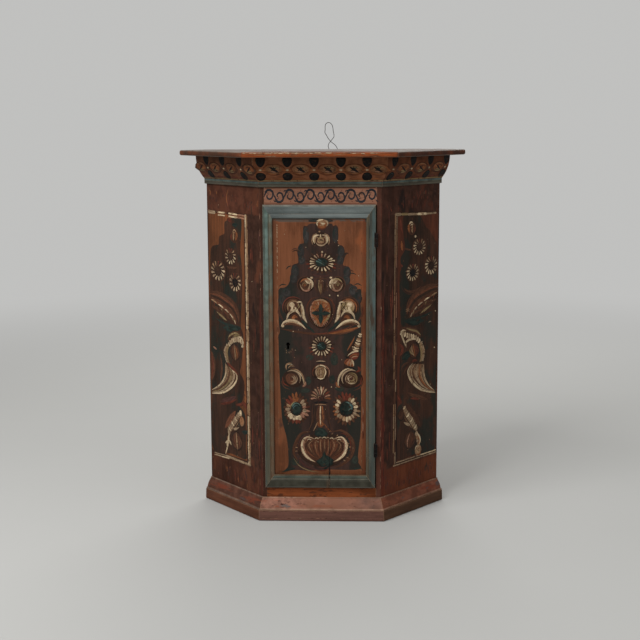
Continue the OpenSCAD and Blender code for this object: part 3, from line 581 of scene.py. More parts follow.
def dress_planks():
    """Orange planks: dirty, brightened in places as painted light, grey at the top with dirt and painted
    shade, and black round the keyhole as painted shade in it.
    """
    over = (patches(DOOR_DIRT, (9, 9, 5), 0.24, (1, 6, 3)),
            # Painted light: brighter orange patches high on the field
            patches(DOOR_PAINTED_LIGHT, (10, 10, 6), 0.34, (4, 2, 1), low=DOOR_PAINTED_LIGHT_FOOT, high=DOOR_PAINTED_LIGHT_TOP),
            patches(DOOR_LOW_GLOW, (11, 11, 6), 0.20, (2, 7, 5), high=DOOR_LOW_GLOW_TOP),
            # Grey dirt and painted shade along the top of the field, under the moulding
            patches(DOOR_GREY_DIRT_AND_SHADE, (20, 20, 90), 0.75, (6, 2, 3), low=DOOR_DIRT_AND_SHADE_FOOT),
            # Rims of the field; the right one is painted shade
            strip(*FIELD_RIM["left"], RIM_PAINT_AND_SHADE["left"]), strip(*FIELD_RIM["right"], RIM_PAINT_AND_SHADE["right"]),
            # Painted shade in the keyhole: its walls and a thin ring round it blackened
            shade_in_keyhole(KEY_X * MM, KEY_Z * MM, 0.0068))
    dress(["door_plank"], painted_wood("door_paint", "z", tones(DOOR_PAINT, 0.62, 1.25), seed=8.4, wear=0.4,
                                       over=over))


def dress_door_moulding():
    """The four lengths of the moulding with their beads and edges, and the crack in the bottom one."""
    left = (at_height([(TEAL_FADED_FOOT, 0.25, FADED_TEAL), (TEAL_FOOT, 0.18, TEAL)], 0.25),
            strip(*STILE_BEAD["left"], BEAD_PALE["left"]),
            strip(*STILE_BEAD["left"], BEAD_BROWN, below=TEAL_FOOT),
            strip(*STILE_EDGE["left"], EDGE_PAINT["left"]))
    right = (strip(*STILE_BEAD["right"], BEAD_PALE["right"]),
             strip(*STILE_EDGE["right"], EDGE_PAINT["right"]),
             strip(*STILE_EDGE["right"], EDGE_SOILED, below=SOILED_TOP),
             patches(MOULDING_GRIME, (30, 30, 7), 0.2, (2, 2, 2)))
    top = (at_height([(TOP_LENGTH_STEP, 0.0012, PALE_SLATE)], 0.002),)
    softness, paints = (0.0008, 0.0015, 0.0012, 0.001), (BOTTLE, MOULDING_FLAT, MOULDING_HOLLOW, BEAD_DARK)
    crack_left, crack_right = CRACK_X * MM - CRACK_HALF, CRACK_X * MM + CRACK_HALF
    dark_crack = strip(crack_left, crack_right, CRACK_BLACK, soft=0.0004)
    bottom = (at_height(list(zip(FOOT_LENGTH_STEPS, softness, paints)), 0.002),
              strip(crack_left - CRACK_STAIN, crack_left, CRACK_BROWN, below=CRACK_STAIN_TOP),
              dark_crack, dark_crack, dark_crack)
    lengths = (("left", "z", OLIVE, left, 9.2), ("right", "z", DARK_OLIVE, right, 10.6),
               ("top", "x", SLATE, top, 11.3), ("bottom", "x", MOULDING_FOOT, bottom, 12.8))
    for place, grain, paint, over, seed in lengths:
        material = painted_wood(f"moulding_paint_{place}", grain, tones(paint), edge=CREAM, seed=seed,
                                wear=0.75, over=over)
        dress([f"door_moulding_{place}"], material)


def dress_nodes():
    """Materials of all CAD nodes."""
    dress_sides()
    dress_mouldings()
    dress_planks()
    dress_door_moulding()
    dress(["frieze_board"], painted_wood("frieze_paint", "x", tones(FRIEZE_PAINT), seed=0.7, cover=0.2))
    grime = patches(RAIL_GRIME, (45, 45, 130), 0.30, (6, 2, 8))
    dress(["bottom_rail"], painted_wood("rail_paint", "x", tones(RAIL_PAINT, 0.5, 1.5), seed=5.5, cover=0.2,
                                        over=(grime,)))
    dress(["bottom_board", "ceiling_board", "shelf", "door_batten", "door_stop", "lock_keeper"],
          bare_wood("pine_across", "x", PINE))
    dress(["back_plank", "corner_post"], bare_wood("pine_upright", "z", BACK_PINE))
    dress(["hinge", "lock_case", "lock_bolt", "lock_stud", "lock_key_post", "lock_spring"],
          iron("forged_iron", *FORGED_IRON))
    dress(["hanging_wire"], iron("iron_wire", *WIRE_IRON))
    dress(["back_nails", "top_nails", "batten_nails", "lock_nails"], iron("nail_iron", *NAIL_IRON))


# Painted ornament. A face is drawn in millimetres: across it and up it. These are the depth of a stroke's rim
# in the wood, the thickness of one coat and the length of a curve's steps.
SUNK = -0.03
COAT = 0.055
CURVE_STEP = 2.2


def smooth_line(points, closed=False):
    """A smooth curve through the points, as a list of closer points."""
    count = len(points)
    spans = count if closed else count - 1
    line = []
    for i in range(spans):
        p = [Vector(points[(i + k) % count] if closed else points[min(max(i + k, 0), count - 1)])
             for k in (-1, 0, 1, 2)]
        cuts = max(2, round((p[2] - p[1]).length / CURVE_STEP))
        for k in range(cuts):
            t = k / cuts
            line.append(0.5 * (2 * p[1] + (p[2] - p[0]) * t + (2 * p[0] - 5 * p[1] + 4 * p[2] - p[3]) * t * t
                               + (3 * p[1] - p[0] - 3 * p[2] + p[3]) * t ** 3))
    if not closed:
        line.append(Vector(points[-1]))
    return line


def on_ellipse(ru, rv, angle, u=0.0, v=0.0):
    """Point of an ellipse round (u, v) at an angle in degrees."""
    a = math.radians(angle)
    return (u + ru * math.cos(a), v + rv * math.sin(a))


def arc(u, v, ru, rv, start, end, count=9):
    """Points on an ellipse, from one angle to another in degrees."""
    return [on_ellipse(ru, rv, start + (end - start) * i / (count - 1), u, v) for i in range(count)]


def round_end(distance, width):
    """Share of its full width that a stroke with a round end has at a distance from that end."""
    return math.sqrt(max(0.0, 1 - (1 - min(1.0, 2 * distance / width)) ** 2))


# Width of a stroke along its length: t runs from 0 at its start to 1 at its end
BRUSH_SHAPES = {
    "line": lambda t, length, width: round_end(t * length, width) * round_end((1 - t) * length, width),
    "comma": lambda t, length, width: round_end(t * length, width) * (1 - t) ** 0.7,
    "drop": lambda t, length, width: round_end((1 - t) * length, width) * t ** 0.7,
    "leaf": lambda t, length, width: math.sin(math.pi * t) ** 0.7 if 0 < t < 1 else 0.0,
}


class Painting:
    """Ornament on one face of the cupboard: thin closed shells of paint, gathered in one piece.
    spot turns (across, up, out) in millimetres into a point of the frame in metres. The layer of a stroke is
    the number of coats by which it stands out."""

    def __init__(self, name, spot, seed):
        self.name = name
        self.spot = spot
        self.at(0, 0)
        self.mesh = bmesh.new()
        self.brush = self.mesh.verts.layers.float_vector.new("brush")
        self.paints = []
        self.chance = random.Random(seed)

    def at(self, u, v, flip=False, size=1.0):
        """What follows is drawn round this point of the face, mirrored if flipped."""
        self.origin = (u, v)
        self.scale = (-size if flip else size, size)

    def vert(self, u, v, out, mark):
        """A vertex, and where it lies in its brush stroke: along it, across it, and the stroke's own mark."""
        across = self.origin[0] + self.scale[0] * u
        up = self.origin[1] + self.scale[1] * v
        vert = self.mesh.verts.new(self.spot(across, up, out))
        vert[self.brush] = mark
        return vert

    def face(self, verts, paint, smooth=True):
        """A face in one of the paints."""
        if paint not in self.paints:
            self.paints.append(paint)
        face = self.mesh.faces.new(verts)
        face.material_index = self.paints.index(paint)
        face.smooth = smooth

    def stroke(self, points, width, paint, layer=3, shape="line"):
        """One brush stroke along the points."""
        line = smooth_line(points)
        length = sum((b - a).length for a, b in zip(line, line[1:]))
        mark, sway = self.chance.random(), self.chance.uniform(0.04, 0.12)
        top = COAT * layer
        section = ((-1, SUNK), (-0.78, 0.8 * top), (0, top), (0.78, 0.8 * top), (1, SUNK))
        rings, gone = [], 0.0
        for i, point in enumerate(line):
            if i:
                gone += (point - line[i - 1]).length
            run = (line[min(i + 1, len(line) - 1)] - line[max(i - 1, 0)]).normalized()
            share = min(1.0, gone / length)
            half = 0.5 * width * BRUSH_SHAPES[shape](share, length, width)
            half = max(0.12, half * (1 + sway * math.sin(gone * 0.9 + mark * 40)))
            rings.append([self.vert(point.x - run.y * half * a, point.y + run.x * half * a, out,
                                    (gone * MM, a, mark)) for a, out in section])
        count = len(section)
        for a, b in zip(rings, rings[1:]):
            for i in range(count):
                k = (i + 1) % count
                self.face((a[i], a[k], b[k], b[i]), paint)
        self.face(rings[0], paint)
        self.face(rings[-1], paint)

    def leaf(self, points, width, paint, layer=3):
        """A stroke that swells in its middle."""
        self.stroke(points, width, paint, layer, "leaf")

    def chip(self, u, v, across, up, width, paint, layer):
        """A short leaf stroke from a point. across, up and width are ranges of its run, rise and width."""
        end = (u + self.chance.uniform(*across), v + self.chance.uniform(*up))
        self.leaf([(u, v), end], self.chance.uniform(*width), paint, layer)

    def pair(self, points, width, paint, layer=3):
        """A leaf stroke and its mirror image."""
        for sign in (1, -1):
            self.leaf([(sign * u, v) for u, v in points], width, paint, layer)

    def ribbed(self, spine, halves, count, paints):
        """Curved ribs across a spine, a dark line between each two.
        halves holds their half length at the start, the middle and the end."""
        line = smooth_line(spine)
        length = sum((b - a).length for a, b in zip(line, line[1:]))
        for i in range(2 * count - 1):
            share = (i + 1) / (2 * count)
            k = round(share * (len(line) - 1))
            run = (line[min(k + 1, len(line) - 1)] - line[max(k - 1, 0)]).normalized()
            across = Vector((-run.y, run.x))
            half = (halves[0] * (1 - share) * (1 - 2 * share) + halves[1] * 4 * share * (1 - share)
                    + halves[2] * share * (2 * share - 1))
            rib = [line[k] + across * half * a - run * 2.5 * abs(a) for a in (-1, 0, 1)]
            if i % 2 == 0:
                self.leaf(rib, 1.25 * length / count, paints[i // 2 % len(paints)], 4)
            else:
                self.leaf(rib, 1.3, "brown", 5)

    def blob(self, outline, paint, layer=3):
        """A filled shape whose outline can be seen from its middle."""
        middle = sum(outline, Vector((0, 0))) / len(outline)
        mark = self.chance.random()
        top = COAT * layer
        rings = []
        for share, out in ((1, SUNK), (0.86, 0.85 * top), (0.5, top)):
            rings.append([self.vert(*(middle + (p - middle) * share), out, (i * CURVE_STEP * MM, share, mark))
                          for i, p in enumerate(outline)])
        count = len(outline)
        for a, b in zip(rings, rings[1:]):
            for i in range(count):
                k = (i + 1) % count
                self.face((a[i], a[k], b[k], b[i]), paint)
        peak = self.vert(*middle, top, (0, 0, mark))
        for i in range(count):
            self.face((rings[-1][i], rings[-1][(i + 1) % count], peak), paint)
        self.face(rings[0], paint)

    def oval(self, u, v, ru, rv, paint, layer=3):
        """A filled oval, a little uneven."""
        wobble = self.chance.uniform(0, 6)
        count = max(10, round(2 * math.pi * max(ru, rv) / CURVE_STEP))
        outline = []
        for i in range(count):
            a = 2 * math.pi * i / count
            r = 1 + 0.035 * math.sin(3 * a + wobble)
            outline.append(Vector((u + ru * r * math.cos(a), v + rv * r * math.sin(a))))
        self.blob(outline, paint, layer)

    def shape(self, points, paint, layer=3):
        """A filled shape with a smooth outline through the points."""
        self.blob(smooth_line(points, closed=True), paint, layer)

    def ground(self, outline, paint, layer=1, hole=()):
        """A flat coat inside an outline of any form, with a hole left in it."""
        top = COAT * layer
        loops = []
        for points in (outline, hole):
            if points:
                loops.append([[self.vert(p[0], p[1], out, (0, 0, 0)) for p in points] for out in (SUNK, top)])
        for low, high in loops:
            for i in range(len(low)):
                k = (i + 1) % len(low)
                self.face((low[i], low[k], high[k], high[i]), paint, smooth=False)
        for level in (0, 1):
            edges = set()
            for loop in loops:
                ring = loop[level]
                edges |= {self.mesh.edges.get((ring[i - 1], ring[i])) for i in range(len(ring))}
            ordered = sorted(edges, key=lambda e: (*e.verts[0].co, *e.verts[1].co))
            made = bmesh.ops.triangle_fill(self.mesh, use_beauty=True, edges=ordered)
            for item in made["geom"]:
                if isinstance(item, bmesh.types.BMFace):
                    item.material_index = self.paints.index(paint)

    def arcs(self, u, v, ru, rv, start, end, width, paint, layer=3, shape="line"):
        """A stroke along part of an ellipse."""
        self.stroke(arc(u, v, ru, rv, start, end), width, paint, layer, shape)

    def band(self, first, last, count, paints, width, layer=3):
        """Strokes side by side between two lines with as many points."""
        for i in range(count):
            share = (i + 0.5) / count
            points = [Vector(a).lerp(Vector(b), share) for a, b in zip(first, last)]
            self.leaf(points, width * self.chance.uniform(0.85, 1.1), paints[i % len(paints)], layer)

    def petals(self, u, v, inner, outer, count, width, paint_at, layer=4, shape="line"):
        """A ring of petals. paint_at gives the paint of a petal from its angle in degrees."""
        for i in range(count):
            angle = 360 * (i + 0.5) / count
            turned = angle + self.chance.uniform(-2.5, 2.5)
            far = 1 + self.chance.uniform(-0.07, 0.07)
            ends = [on_ellipse(ru * k, rv * k, turned, u, v) for (ru, rv), k in ((inner, 1), (outer, far))]
            broad = width * self.chance.uniform(0.85, 1.15)
            self.stroke(ends, broad, paint_at(angle), layer, shape)

    def finish(self, body, slot):
        """Makes the piece, which rides on a body and takes a material for each of its own paints. slot is not
        used.
        """
        bmesh.ops.recalc_face_normals(self.mesh, faces=self.mesh.faces)
        mesh = bpy.data.meshes.new(self.name)
        self.mesh.to_mesh(mesh)
        self.mesh.free()
        for paint in self.paints:
            mesh.materials.append(ornament_paint(paint))
        piece = bpy.data.objects.new(self.name, mesh)
        bpy.context.scene.collection.objects.link(piece)
        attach(piece, body)
        return piece


# Ornament colours: light and dark streaks of a brush stroke
BRUSHED = {
    "cream": ((0.560, 0.440, 0.280), (0.230, 0.145, 0.082)),
    "tan": ((0.300, 0.185, 0.100), (0.120, 0.060, 0.032)),
    "gold": ((0.240, 0.170, 0.082), (0.095, 0.060, 0.028)),
    "orange": ((0.235, 0.085, 0.032), (0.115, 0.038, 0.017)),
    "red": ((0.140, 0.036, 0.021), (0.065, 0.019, 0.012)),
    "brown": ((0.088, 0.038, 0.021), (0.044, 0.020, 0.013)),
    "umber": ((0.045, 0.023, 0.015), (0.023, 0.013, 0.009)),
    "plum": ((0.072, 0.029, 0.024), (0.038, 0.018, 0.014)),
    "teal": ((0.100, 0.155, 0.130), (0.030, 0.052, 0.043)),
    "green": ((0.021, 0.031, 0.025), (0.010, 0.014, 0.012)),
    "moss": ((0.032, 0.036, 0.028), (0.020, 0.023, 0.018)),
    "slate": ((0.042, 0.037, 0.034), (0.023, 0.021, 0.019)),
    "rust": ((0.130, 0.048, 0.025), (0.066, 0.026, 0.015)),
    "amber": ((0.250, 0.120, 0.058), (0.130, 0.056, 0.026)),
    "black": ((0.016, 0.014, 0.013), (0.007, 0.006, 0.006)),
    "blue_black": ((0.030, 0.034, 0.040), (0.014, 0.015, 0.018)),
    "blush": ((0.290, 0.150, 0.095), (0.170, 0.078, 0.048)),
    "bone": ((0.310, 0.220, 0.135), (0.140, 0.086, 0.052)),
    "blue": ((0.070, 0.125, 0.128), (0.026, 0.044, 0.046)),
}
# Coats under the ornament: dark, middle and light tone
GROUNDS = {
    "door_ground": ((0.025, 0.016, 0.013), (0.043, 0.024, 0.019), (0.060, 0.031, 0.024)),
    "panel_orange": ((0.072, 0.027, 0.012), (0.130, 0.045, 0.018), (0.195, 0.064, 0.026)),
    "panel_red": ((0.036, 0.013, 0.008), (0.070, 0.023, 0.013), (0.110, 0.034, 0.018)),
    "panel_dark": ((0.020, 0.012, 0.008), (0.041, 0.019, 0.012), (0.070, 0.029, 0.017)),
}
GROUND_MARGIN = (0.016, 0.020, 0.016)
GROUND_RUBBED = (0.120, 0.048, 0.026)
UNDERCOAT = (0.046, 0.023, 0.015)


def brushed_paint(name):
    """Paint of a brush stroke: streaks along it, thin at its rim, and rubbed through in places."""
    light, dark = BRUSHED[name]
    g = Graph("brushed_" + name)
    brush = g.node("Attribute", attribute_name="brush").outputs["Vector"]
    along, across, mark = g.node("SeparateXYZ", {0: brush}).outputs
    lanes = {0: g.times(along, 55.0), 1: g.times(across, 2.6), 2: g.times(mark, 61.0)}
    streak = g.noise(g.node("CombineXYZ", lanes).outputs[0], detail=3, rough=0.6)
    rim = g.step(g.math("ABSOLUTE", across), 0.45, 1.0, 0.0, 0.80)
    colour = g.mix(g.step(streak, 0.34, 0.62), dark, light)
    colour = g.mix(rim, colour, dark)
    shade = g.plus(g.times(mark, 0.35), 0.82)
    colour = g.mix(1.0, colour, shade, "MULTIPLY")
    worn = g.noise(g.place("z", (110, 110, 70), (3, 5, 7)), detail=4, rough=0.65)
    colour = g.mix(g.step(worn, 0.565, 0.64, 0.0, 0.8), colour, UNDERCOAT)
    height = g.plus(g.times(streak, 0.6), g.times(worn, -0.5))
    gloss = g.step(worn, 0.3, 0.7, 0.48, 0.70)
    return g.finish(colour, roughness=gloss, bump=height, depth=0.3, reach=0.0005)


def ground_paint(name):
    """Flat coat under the ornament: blotched and crazed, and greener towards its margin."""
    g = Graph("ground_" + name)
    colour, brushed = painted_colour(g, "z", GROUNDS[name], 2.9)
    if name not in ("panel_orange", "panel_red"):
        cloud = g.noise(g.place("z", (11, 16, 16), (1, 8, 3)), detail=4, rough=0.6)
        margin = g.step(cloud, 0.50, 0.62, 0.0, 0.75)
        if name == "door_ground":
            across = g.math("ABSOLUTE", g.across())
            margin = g.step(g.plus(g.times(across, 4.0), cloud), 0.70, 0.84, 0.0, 0.75)
        colour = g.mix(margin, colour, GROUND_MARGIN)
    rub = g.noise(g.place("z", (60, 95, 95), (9, 1, 4)), detail=4, rough=0.65)
    colour = g.mix(g.step(rub, 0.66, 0.71, 0.0, 0.6), colour, GROUND_RUBBED)
    height = g.plus(g.times(brushed, 0.6), g.times(rub, -0.5))
    gloss = g.step(rub, 0.3, 0.7, 0.42, 0.62)
    return g.finish(colour, roughness=gloss, bump=height, depth=0.3, reach=0.0006)


@functools.cache
def ornament_paint(name):
    """Each paint is made once."""
    return brushed_paint(name) if name in BRUSHED else ground_paint(name)


# Keyhole of the door in millimetres: its middle, its height, the radius of its round and its slot's width
KEY_X = -88.0
KEY_Z = 483.5
KEY_H = 18.0
KEY_R = 4.8
KEY_SLOT = 5.2
# Room that the dark ground leaves round it, and steps of its round
KEY_ROOM = 0.6
KEY_STEPS = 20
# Place across the door of the crack between its planks, in millimetres
CRACK_X = 22

# Outline of the door's dark ground from the top to the foot, on the right and on the left
DOOR_GROUND_RIGHT = [
    (12, 813), (18, 820), (22, 812.5), (30, 812), (34, 806), (41, 808), (47, 800), (46, 780), (46, 762),
    (50, 756), (60, 750), (64, 741), (65, 734), (71, 732), (66, 727), (62, 714), (60, 702), (68, 699),
    (76, 692), (77, 683), (79, 676), (77, 665), (75, 655), (83, 651), (90, 644), (95, 634), (101, 638),
    (108, 636), (108, 625), (106, 600), (108, 565), (108, 535), (108, 522), (107, 500), (108, 438),
    (108, 356), (108, 293), (107, 245), (102, 203), (100, 165), (108, 146), (84, 140), (23, 141)]
DOOR_GROUND_LEFT = [
    (-6, 813), (-14, 812.5), (-22, 813), (-30, 811), (-35, 806), (-43, 806), (-46, 799), (-45, 784),
    (-44, 762), (-50, 759), (-58, 753), (-61, 742), (-60, 727), (-59, 709), (-68, 705), (-76, 700),
    (-78, 686), (-80, 673), (-82, 661), (-87, 649), (-98, 641), (-107, 641), (-113, 634), (-113, 625),
    (-113, 554), (-110, 523), (-114, 512), (-114, 499), (-113, 438), (-111, 376), (-107, 292), (-103, 265),
    (-93, 223), (-90, 181), (-91, 150), (-103, 134), (-74, 139), (-40, 137)]


# Middles of the motifs on the door, across it and up it
PLACES = {
    "top bud": (4.5, 809.5), "tulip": (0.3, 767), "high rosette": (3, 709), "dart": (0, 645), "egg": (0, 572),
    "swag": (0, 530), "low rosette": (2, 483), "feather": (-85, 428), "acorn": (-0.5, 411), "fan": (-1, 338),
    "stem": (-1.5, 300), "shell": (8, 190),
    "left berry": (-39.5, 650), "right berry": (43, 650), "left bell": (-74, 590), "right bell": (74, 590),
    "left snail": (-79, 393), "right snail": (82, 393),
    "left rosette": (-67, 310), "right rosette": (68, 311),
}


def keyhole_outline():
    """Outline of the keyhole in the door, with a little room round it."""
    half, radius, foot = KEY_SLOT / 2 + KEY_ROOM, KEY_R + KEY_ROOM, KEY_Z - KEY_H / 2 - KEY_ROOM
    start = -math.degrees(math.acos(half / radius))
    eye = arc(KEY_X, KEY_Z + KEY_H / 2 - KEY_R, radius, radius, start, 180 - start, KEY_STEPS)
    return eye + [(KEY_X - half, foot), (KEY_X + half, foot)]


def front_spot(face_y):
    """Maps (across, up, out) on an upright face at a depth, which looks to the front, to the frame."""
    return lambda u, z, out: Vector((u * MM, face_y - out * MM, z * MM))


def by_angle(*bands):
    """Paint by angle: bands are (end angle, paint)."""
    return lambda angle: next(paint for end, paint in bands if angle <= end)


def top_bud(p):
    """Bud with cream petals that fold over an orange heart."""
    p.at(*PLACES["top bud"])
    p.oval(0, 0, 17, 16, "brown", 2)
    p.oval(0, 1, 15, 14, "orange", 3)
    p.leaf([(-12, -4), (-13, 6), (-6, 12), (4, 13)], 7, "cream", 4)
    p.leaf([(3, 13), (12, 9), (15, 2), (11, -5)], 6, "bone", 4)
    p.leaf([(-8, 6), (0, 8), (9, 5)], 7, "tan", 4)
    p.leaf([(-5, 5), (3, 2), (9, 4)], 6, "cream", 5)
    p.leaf([(-8, -3), (-1, -1), (6, -4)], 4, "tan", 4)
    p.leaf([(-10, -8), (0, -12), (11, -7)], 3, "red", 4)


def tulip(p):
    """Round bud between two cream petals that curl inward at the top."""
    p.at(*PLACES["tulip"])
    p.oval(0, 3, 25, 21, "umber", 2)
    p.oval(-3, 24, 2.7, 2.4, "tan", 3)
    p.pair([(21, -12), (23, 2), (19, 14), (9, 20)], 3.5, "tan")
    p.oval(0, 0, 16, 15, "brown", 3)
    p.pair([(16, -8), (18, 4), (13, 13), (3, 15)], 8, "cream", 4)
    p.pair([(13, -6), (14, 3), (9, 10)], 3, "tan", 4.6)
    p.stroke([(0, 17), (0, 5)], 6, "cream", 5, "comma")
    p.oval(0, -1, 11, 10, "tan", 4)
    p.leaf([(-8, 4), (0, 8), (8, 5)], 7, "gold", 5)
    p.leaf([(-7, -2), (0, 3), (8, -1)], 2.7, "umber", 5)
    p.leaf([(-9, -1), (-1, 1), (9, -3)], 5, "gold", 5)
    p.leaf([(-7, -6), (1, -7), (9, -6)], 3, "brown", 5)
    p.leaf([(-13, -4), (-7, -11), (2, -13), (11, -10), (16, -3)], 4.5, "bone", 5)
    p.leaf([(-12, 12), (-6, 6), (-2, 2)], 2.4, "tan", 5.4)
    p.leaf([(13, 12), (7, 6), (3, 2)], 2.4, "tan", 5.4)
    p.oval(4, -30, 3.2, 2.7, "cream", 4)


def dart(p):
    """Slender bud between the two berries, under a shallow arch."""
    p.at(*PLACES["dart"])
    p.leaf([(0, 23), (0, 6), (0, -23)], 16, "brown", 2)
    p.pair([(10, 15), (11, -2), (7, -20)], 6.4, "umber", 2.6)
    p.leaf([(-4, 16), (-5, 1), (-2, -16)], 3.2, "gold")
    p.leaf([(1, 8), (1, -4), (1, -20)], 2.8, "gold", 4)
    p.pair([(1, 11), (4, 16), (8, 12)], 2, "tan", 4)
    p.pair([(14, 15), (16, 1), (9, -16)], 3.2, "brown")
    p.leaf([(-20, 19), (0, 22), (20, 19)], 3.2, "brown")
    p.leaf([(-29, 35), (-12, 29), (4, 27), (20, 29), (33, 35)], 5.8, "plum", 2)


def berry(p, side, core, heart):
    """Round fruit: pale arcs round a dark hole, and a bright crescent towards the middle of the door."""
    p.at(*PLACES[side + " berry"], flip=side == "left")
    p.oval(0, 0, 25, 24, "umber", 2)
    p.arcs(0, 0, 22.5, 21.5, -60, 130, 2.8, "brown", 2.6, "leaf")
    p.oval(0, 0, 19, 19, "brown", 2.5)
    p.arcs(0, -1, 15, 15.5, 20, 190, 6.5, core, 3.4, "leaf")
    p.arcs(0, -1, 15, 16, 180, 330, 6.5, "blush", 3.6, "leaf")
    p.arcs(0, -1, 11, 11, 60, 250, 6, "tan", 4, "leaf")
    p.leaf([(-2, 18), (-13, 11), (-18, -1), (-14, -12)], 7.5, "cream", 4.8)
    p.leaf([(2, 14), (-8, 8), (-11, -3), (-6, -14)], 5, "bone", 4.6)
    p.leaf([(-17, 7), (-6, 4), (2, 12)], 4.5, "cream", 5)
    p.leaf([(4, -16), (12, -9), (16, 2)], 3, "bone", 4.8)
    p.leaf([(-15, -3), (-13, -10), (-9, -14)], 3.4, "umber", 5.2)
    p.oval(3, -2, 6.8, 6.8, "brown", 5)
    p.arcs(3, -2, 6, 6, -30, 200, 2.2, "gold", 5.4, "leaf")
    p.oval(3, -2, 3.6, 3.6, heart, 6)
    p.oval(-15.5, 18, 4.2, 3.4, "cream", 5)


def egg(p):
    """Pointed egg with a star cut into it and a fringe of dashes."""
    p.at(*PLACES["egg"])
    p.oval(0, 0, 36, 46, "umber", 2)
    p.pair([(0, 43), (20, 40), (32, 26), (34, 4), (27, -19), (13, -37), (0, -48)], 3.2, "brown")
    p.pair([(8, 46), (26, 38), (37, 20), (37, -4)], 1.8, "red")
    p.shape([(0, 38), (16, 38), (27, 26), (29, 4), (23, -17), (11, -33), (0, -41),
             (-11, -33), (-23, -17), (-29, 4), (-27, 26), (-16, 38)], "orange", 3)
    p.leaf([(-18, 32), (-26, 13), (-22, -11), (-10, -31)], 8, "blush", 3.8)
    p.leaf([(-18, 31), (-24, 13), (-20, -9)], 7, "orange", 4.2)
    p.leaf([(-17, 33), (-6, 36), (9, 34), (20, 27)], 7, "tan", 3.8)
    p.leaf([(-15, 30), (-4, 33), (9, 31)], 4.5, "orange", 4.2)
    p.leaf([(9, -25), (20, -11), (26, 8)], 7, "gold", 3.8)
    for i in range(30):
        angle = 12 * i + p.chance.uniform(-4, 4)
        near, far = p.chance.uniform(0.56, 0.68), p.chance.uniform(0.84, 0.97)
        ends = [on_ellipse(28 * r, 38 * r, angle) for r in (near, far)]
        p.leaf(ends, p.chance.uniform(1.8, 2.8), ("tan", "orange", "gold", "red", "bone")[i % 5], 4.4)
    for angle in range(228, 320, 11):
        ends = [on_ellipse(29 * r, 40 * r, angle) for r in (0.74, 0.93)]
        p.leaf(ends, 2.6, "blush" if angle > 250 else "bone", 4.8)
    for u, v in ((0, 25), (24, 0), (0, -27), (-24, 1)):
        p.leaf([(-0.12 * u, -0.12 * v), (0.45 * u, 0.45 * v), (1.06 * u, 1.06 * v)], 14.5, "green", 5)
    p.oval(0, 0, 8, 8, "green", 6)
    for angle in range(18, 360, 12):
        if 14 < angle % 90 < 76:
            p.leaf([on_ellipse(r, r, angle) for r in (9, 19)], 2.0, "black", 5)


def bell(p, side):
    """Bellflower with a round crown, a broad inner flank and a turned-up skirt."""
    left = side == "left"
    p.at(*PLACES[side + " bell"], left)
    p.oval(0, 0, 30, 29, "umber", 2)
    p.leaf([(26, -18), (27, 5), (15, 22), (-4, 26), (-21, 19)], 3.4, "red" if left else "brown")
    p.leaf([(20, -15), (21, 4), (10, 17), (-4, 20), (-18, 14)], 6.5, "brown" if left else "orange")
    p.oval(-1, 0, 21, 20, "brown" if left else "gold", 2.6)
    p.leaf([(13, -12), (14, 3), (7, 12), (-4, 15), (-15, 11)], 8, "tan")
    p.leaf([(-9, -8), (-15, 0), (-14, 9)], 8, "gold")
    p.oval(3, 5, 8.5, 8, "cream", 4)
    p.leaf([(6, 8), (2, -4), (9, -15)], 8.5, "cream", 4)
    p.leaf([(-4, 0), (-9, -8), (-14, -16)], 7, "cream", 4)
    p.leaf([(-9, 10), (-18, 13), (-26, 9)], 5, "cream", 5)
    p.leaf([(-22, 13), (-25, -8), (-28, -27), (-37, -44)], 11, "cream", 4)
    p.leaf([(-21, 4), (-22, -12), (-27, -30)], 3.4, "tan", 5)
    p.leaf([(-6, 11), (-11, 0), (-18, -8)], 2.6, "umber", 5)
    p.leaf([(-18, 6), (-10, -5), (-4, -13)], 2.4, "umber", 5)
    p.shape([(11, -42), (7, -22), (-4, -17), (-15, -22), (-23, -44), (-4, -39)], "brown", 3)
    p.leaf([(2, -37), (-3, -27), (-12, -29)], 12, "orange", 3.6)
    p.leaf([(-14, -26), (-18, -33), (-22, -43)], 4.3, "umber", 3.8)
    p.leaf([(18, -37), (12, -20), (-1, -11), (-12, -14), (-21, -29)], 8, "cream", 5)
    p.leaf([(33, -52), (24, -48), (7, -46), (-10, -49), (-24, -57)], 9, "brown", 4.4)
    p.leaf([(33, -54), (24, -42), (7, -37), (-10, -41), (-23, -50), (-35, -61)], 9, "cream", 5)
    p.oval(28, -52, 4.6, 4.8, "cream", 5)
    p.leaf([(25, -50), (12, -43), (-4, -44), (-19, -52)], 2.6, "tan", 5.5)
    p.leaf([(-21, -36), (-33, -48), (-47, -63)], 9.6, "green")
    p.leaf([(-40, -53), (-51, -64), (-58, -73)], 5.8, "green")
    p.leaf([(34, 6), (36, -16), (25, -37)], 3.2, "brown", 2)
    p.leaf([(39, 0), (38, -21), (24, -42)], 2.6, "plum" if left else "red", 2)


def swag(p):
    """Long shallow swag that hangs under the two bellflowers."""
    p.at(*PLACES["swag"])
    p.leaf([(-110, 1), (-71, -7), (-28, -13), (0, -15), (35, -13)], 7, "brown")
    p.leaf([(-99, -2), (-76, -6), (-47, -11)], 7, "brown", 3.2)
    p.leaf([(17, -13), (49, -10), (78, -3), (104, 5)], 12, "orange")
    p.leaf([(27, -14), (57, -13), (91, -4)], 5.5, "brown", 4)
    p.leaf([(-33, -11), (-2, -13), (30, -9), (62, -1), (103, 16)], 3, "red", 4)


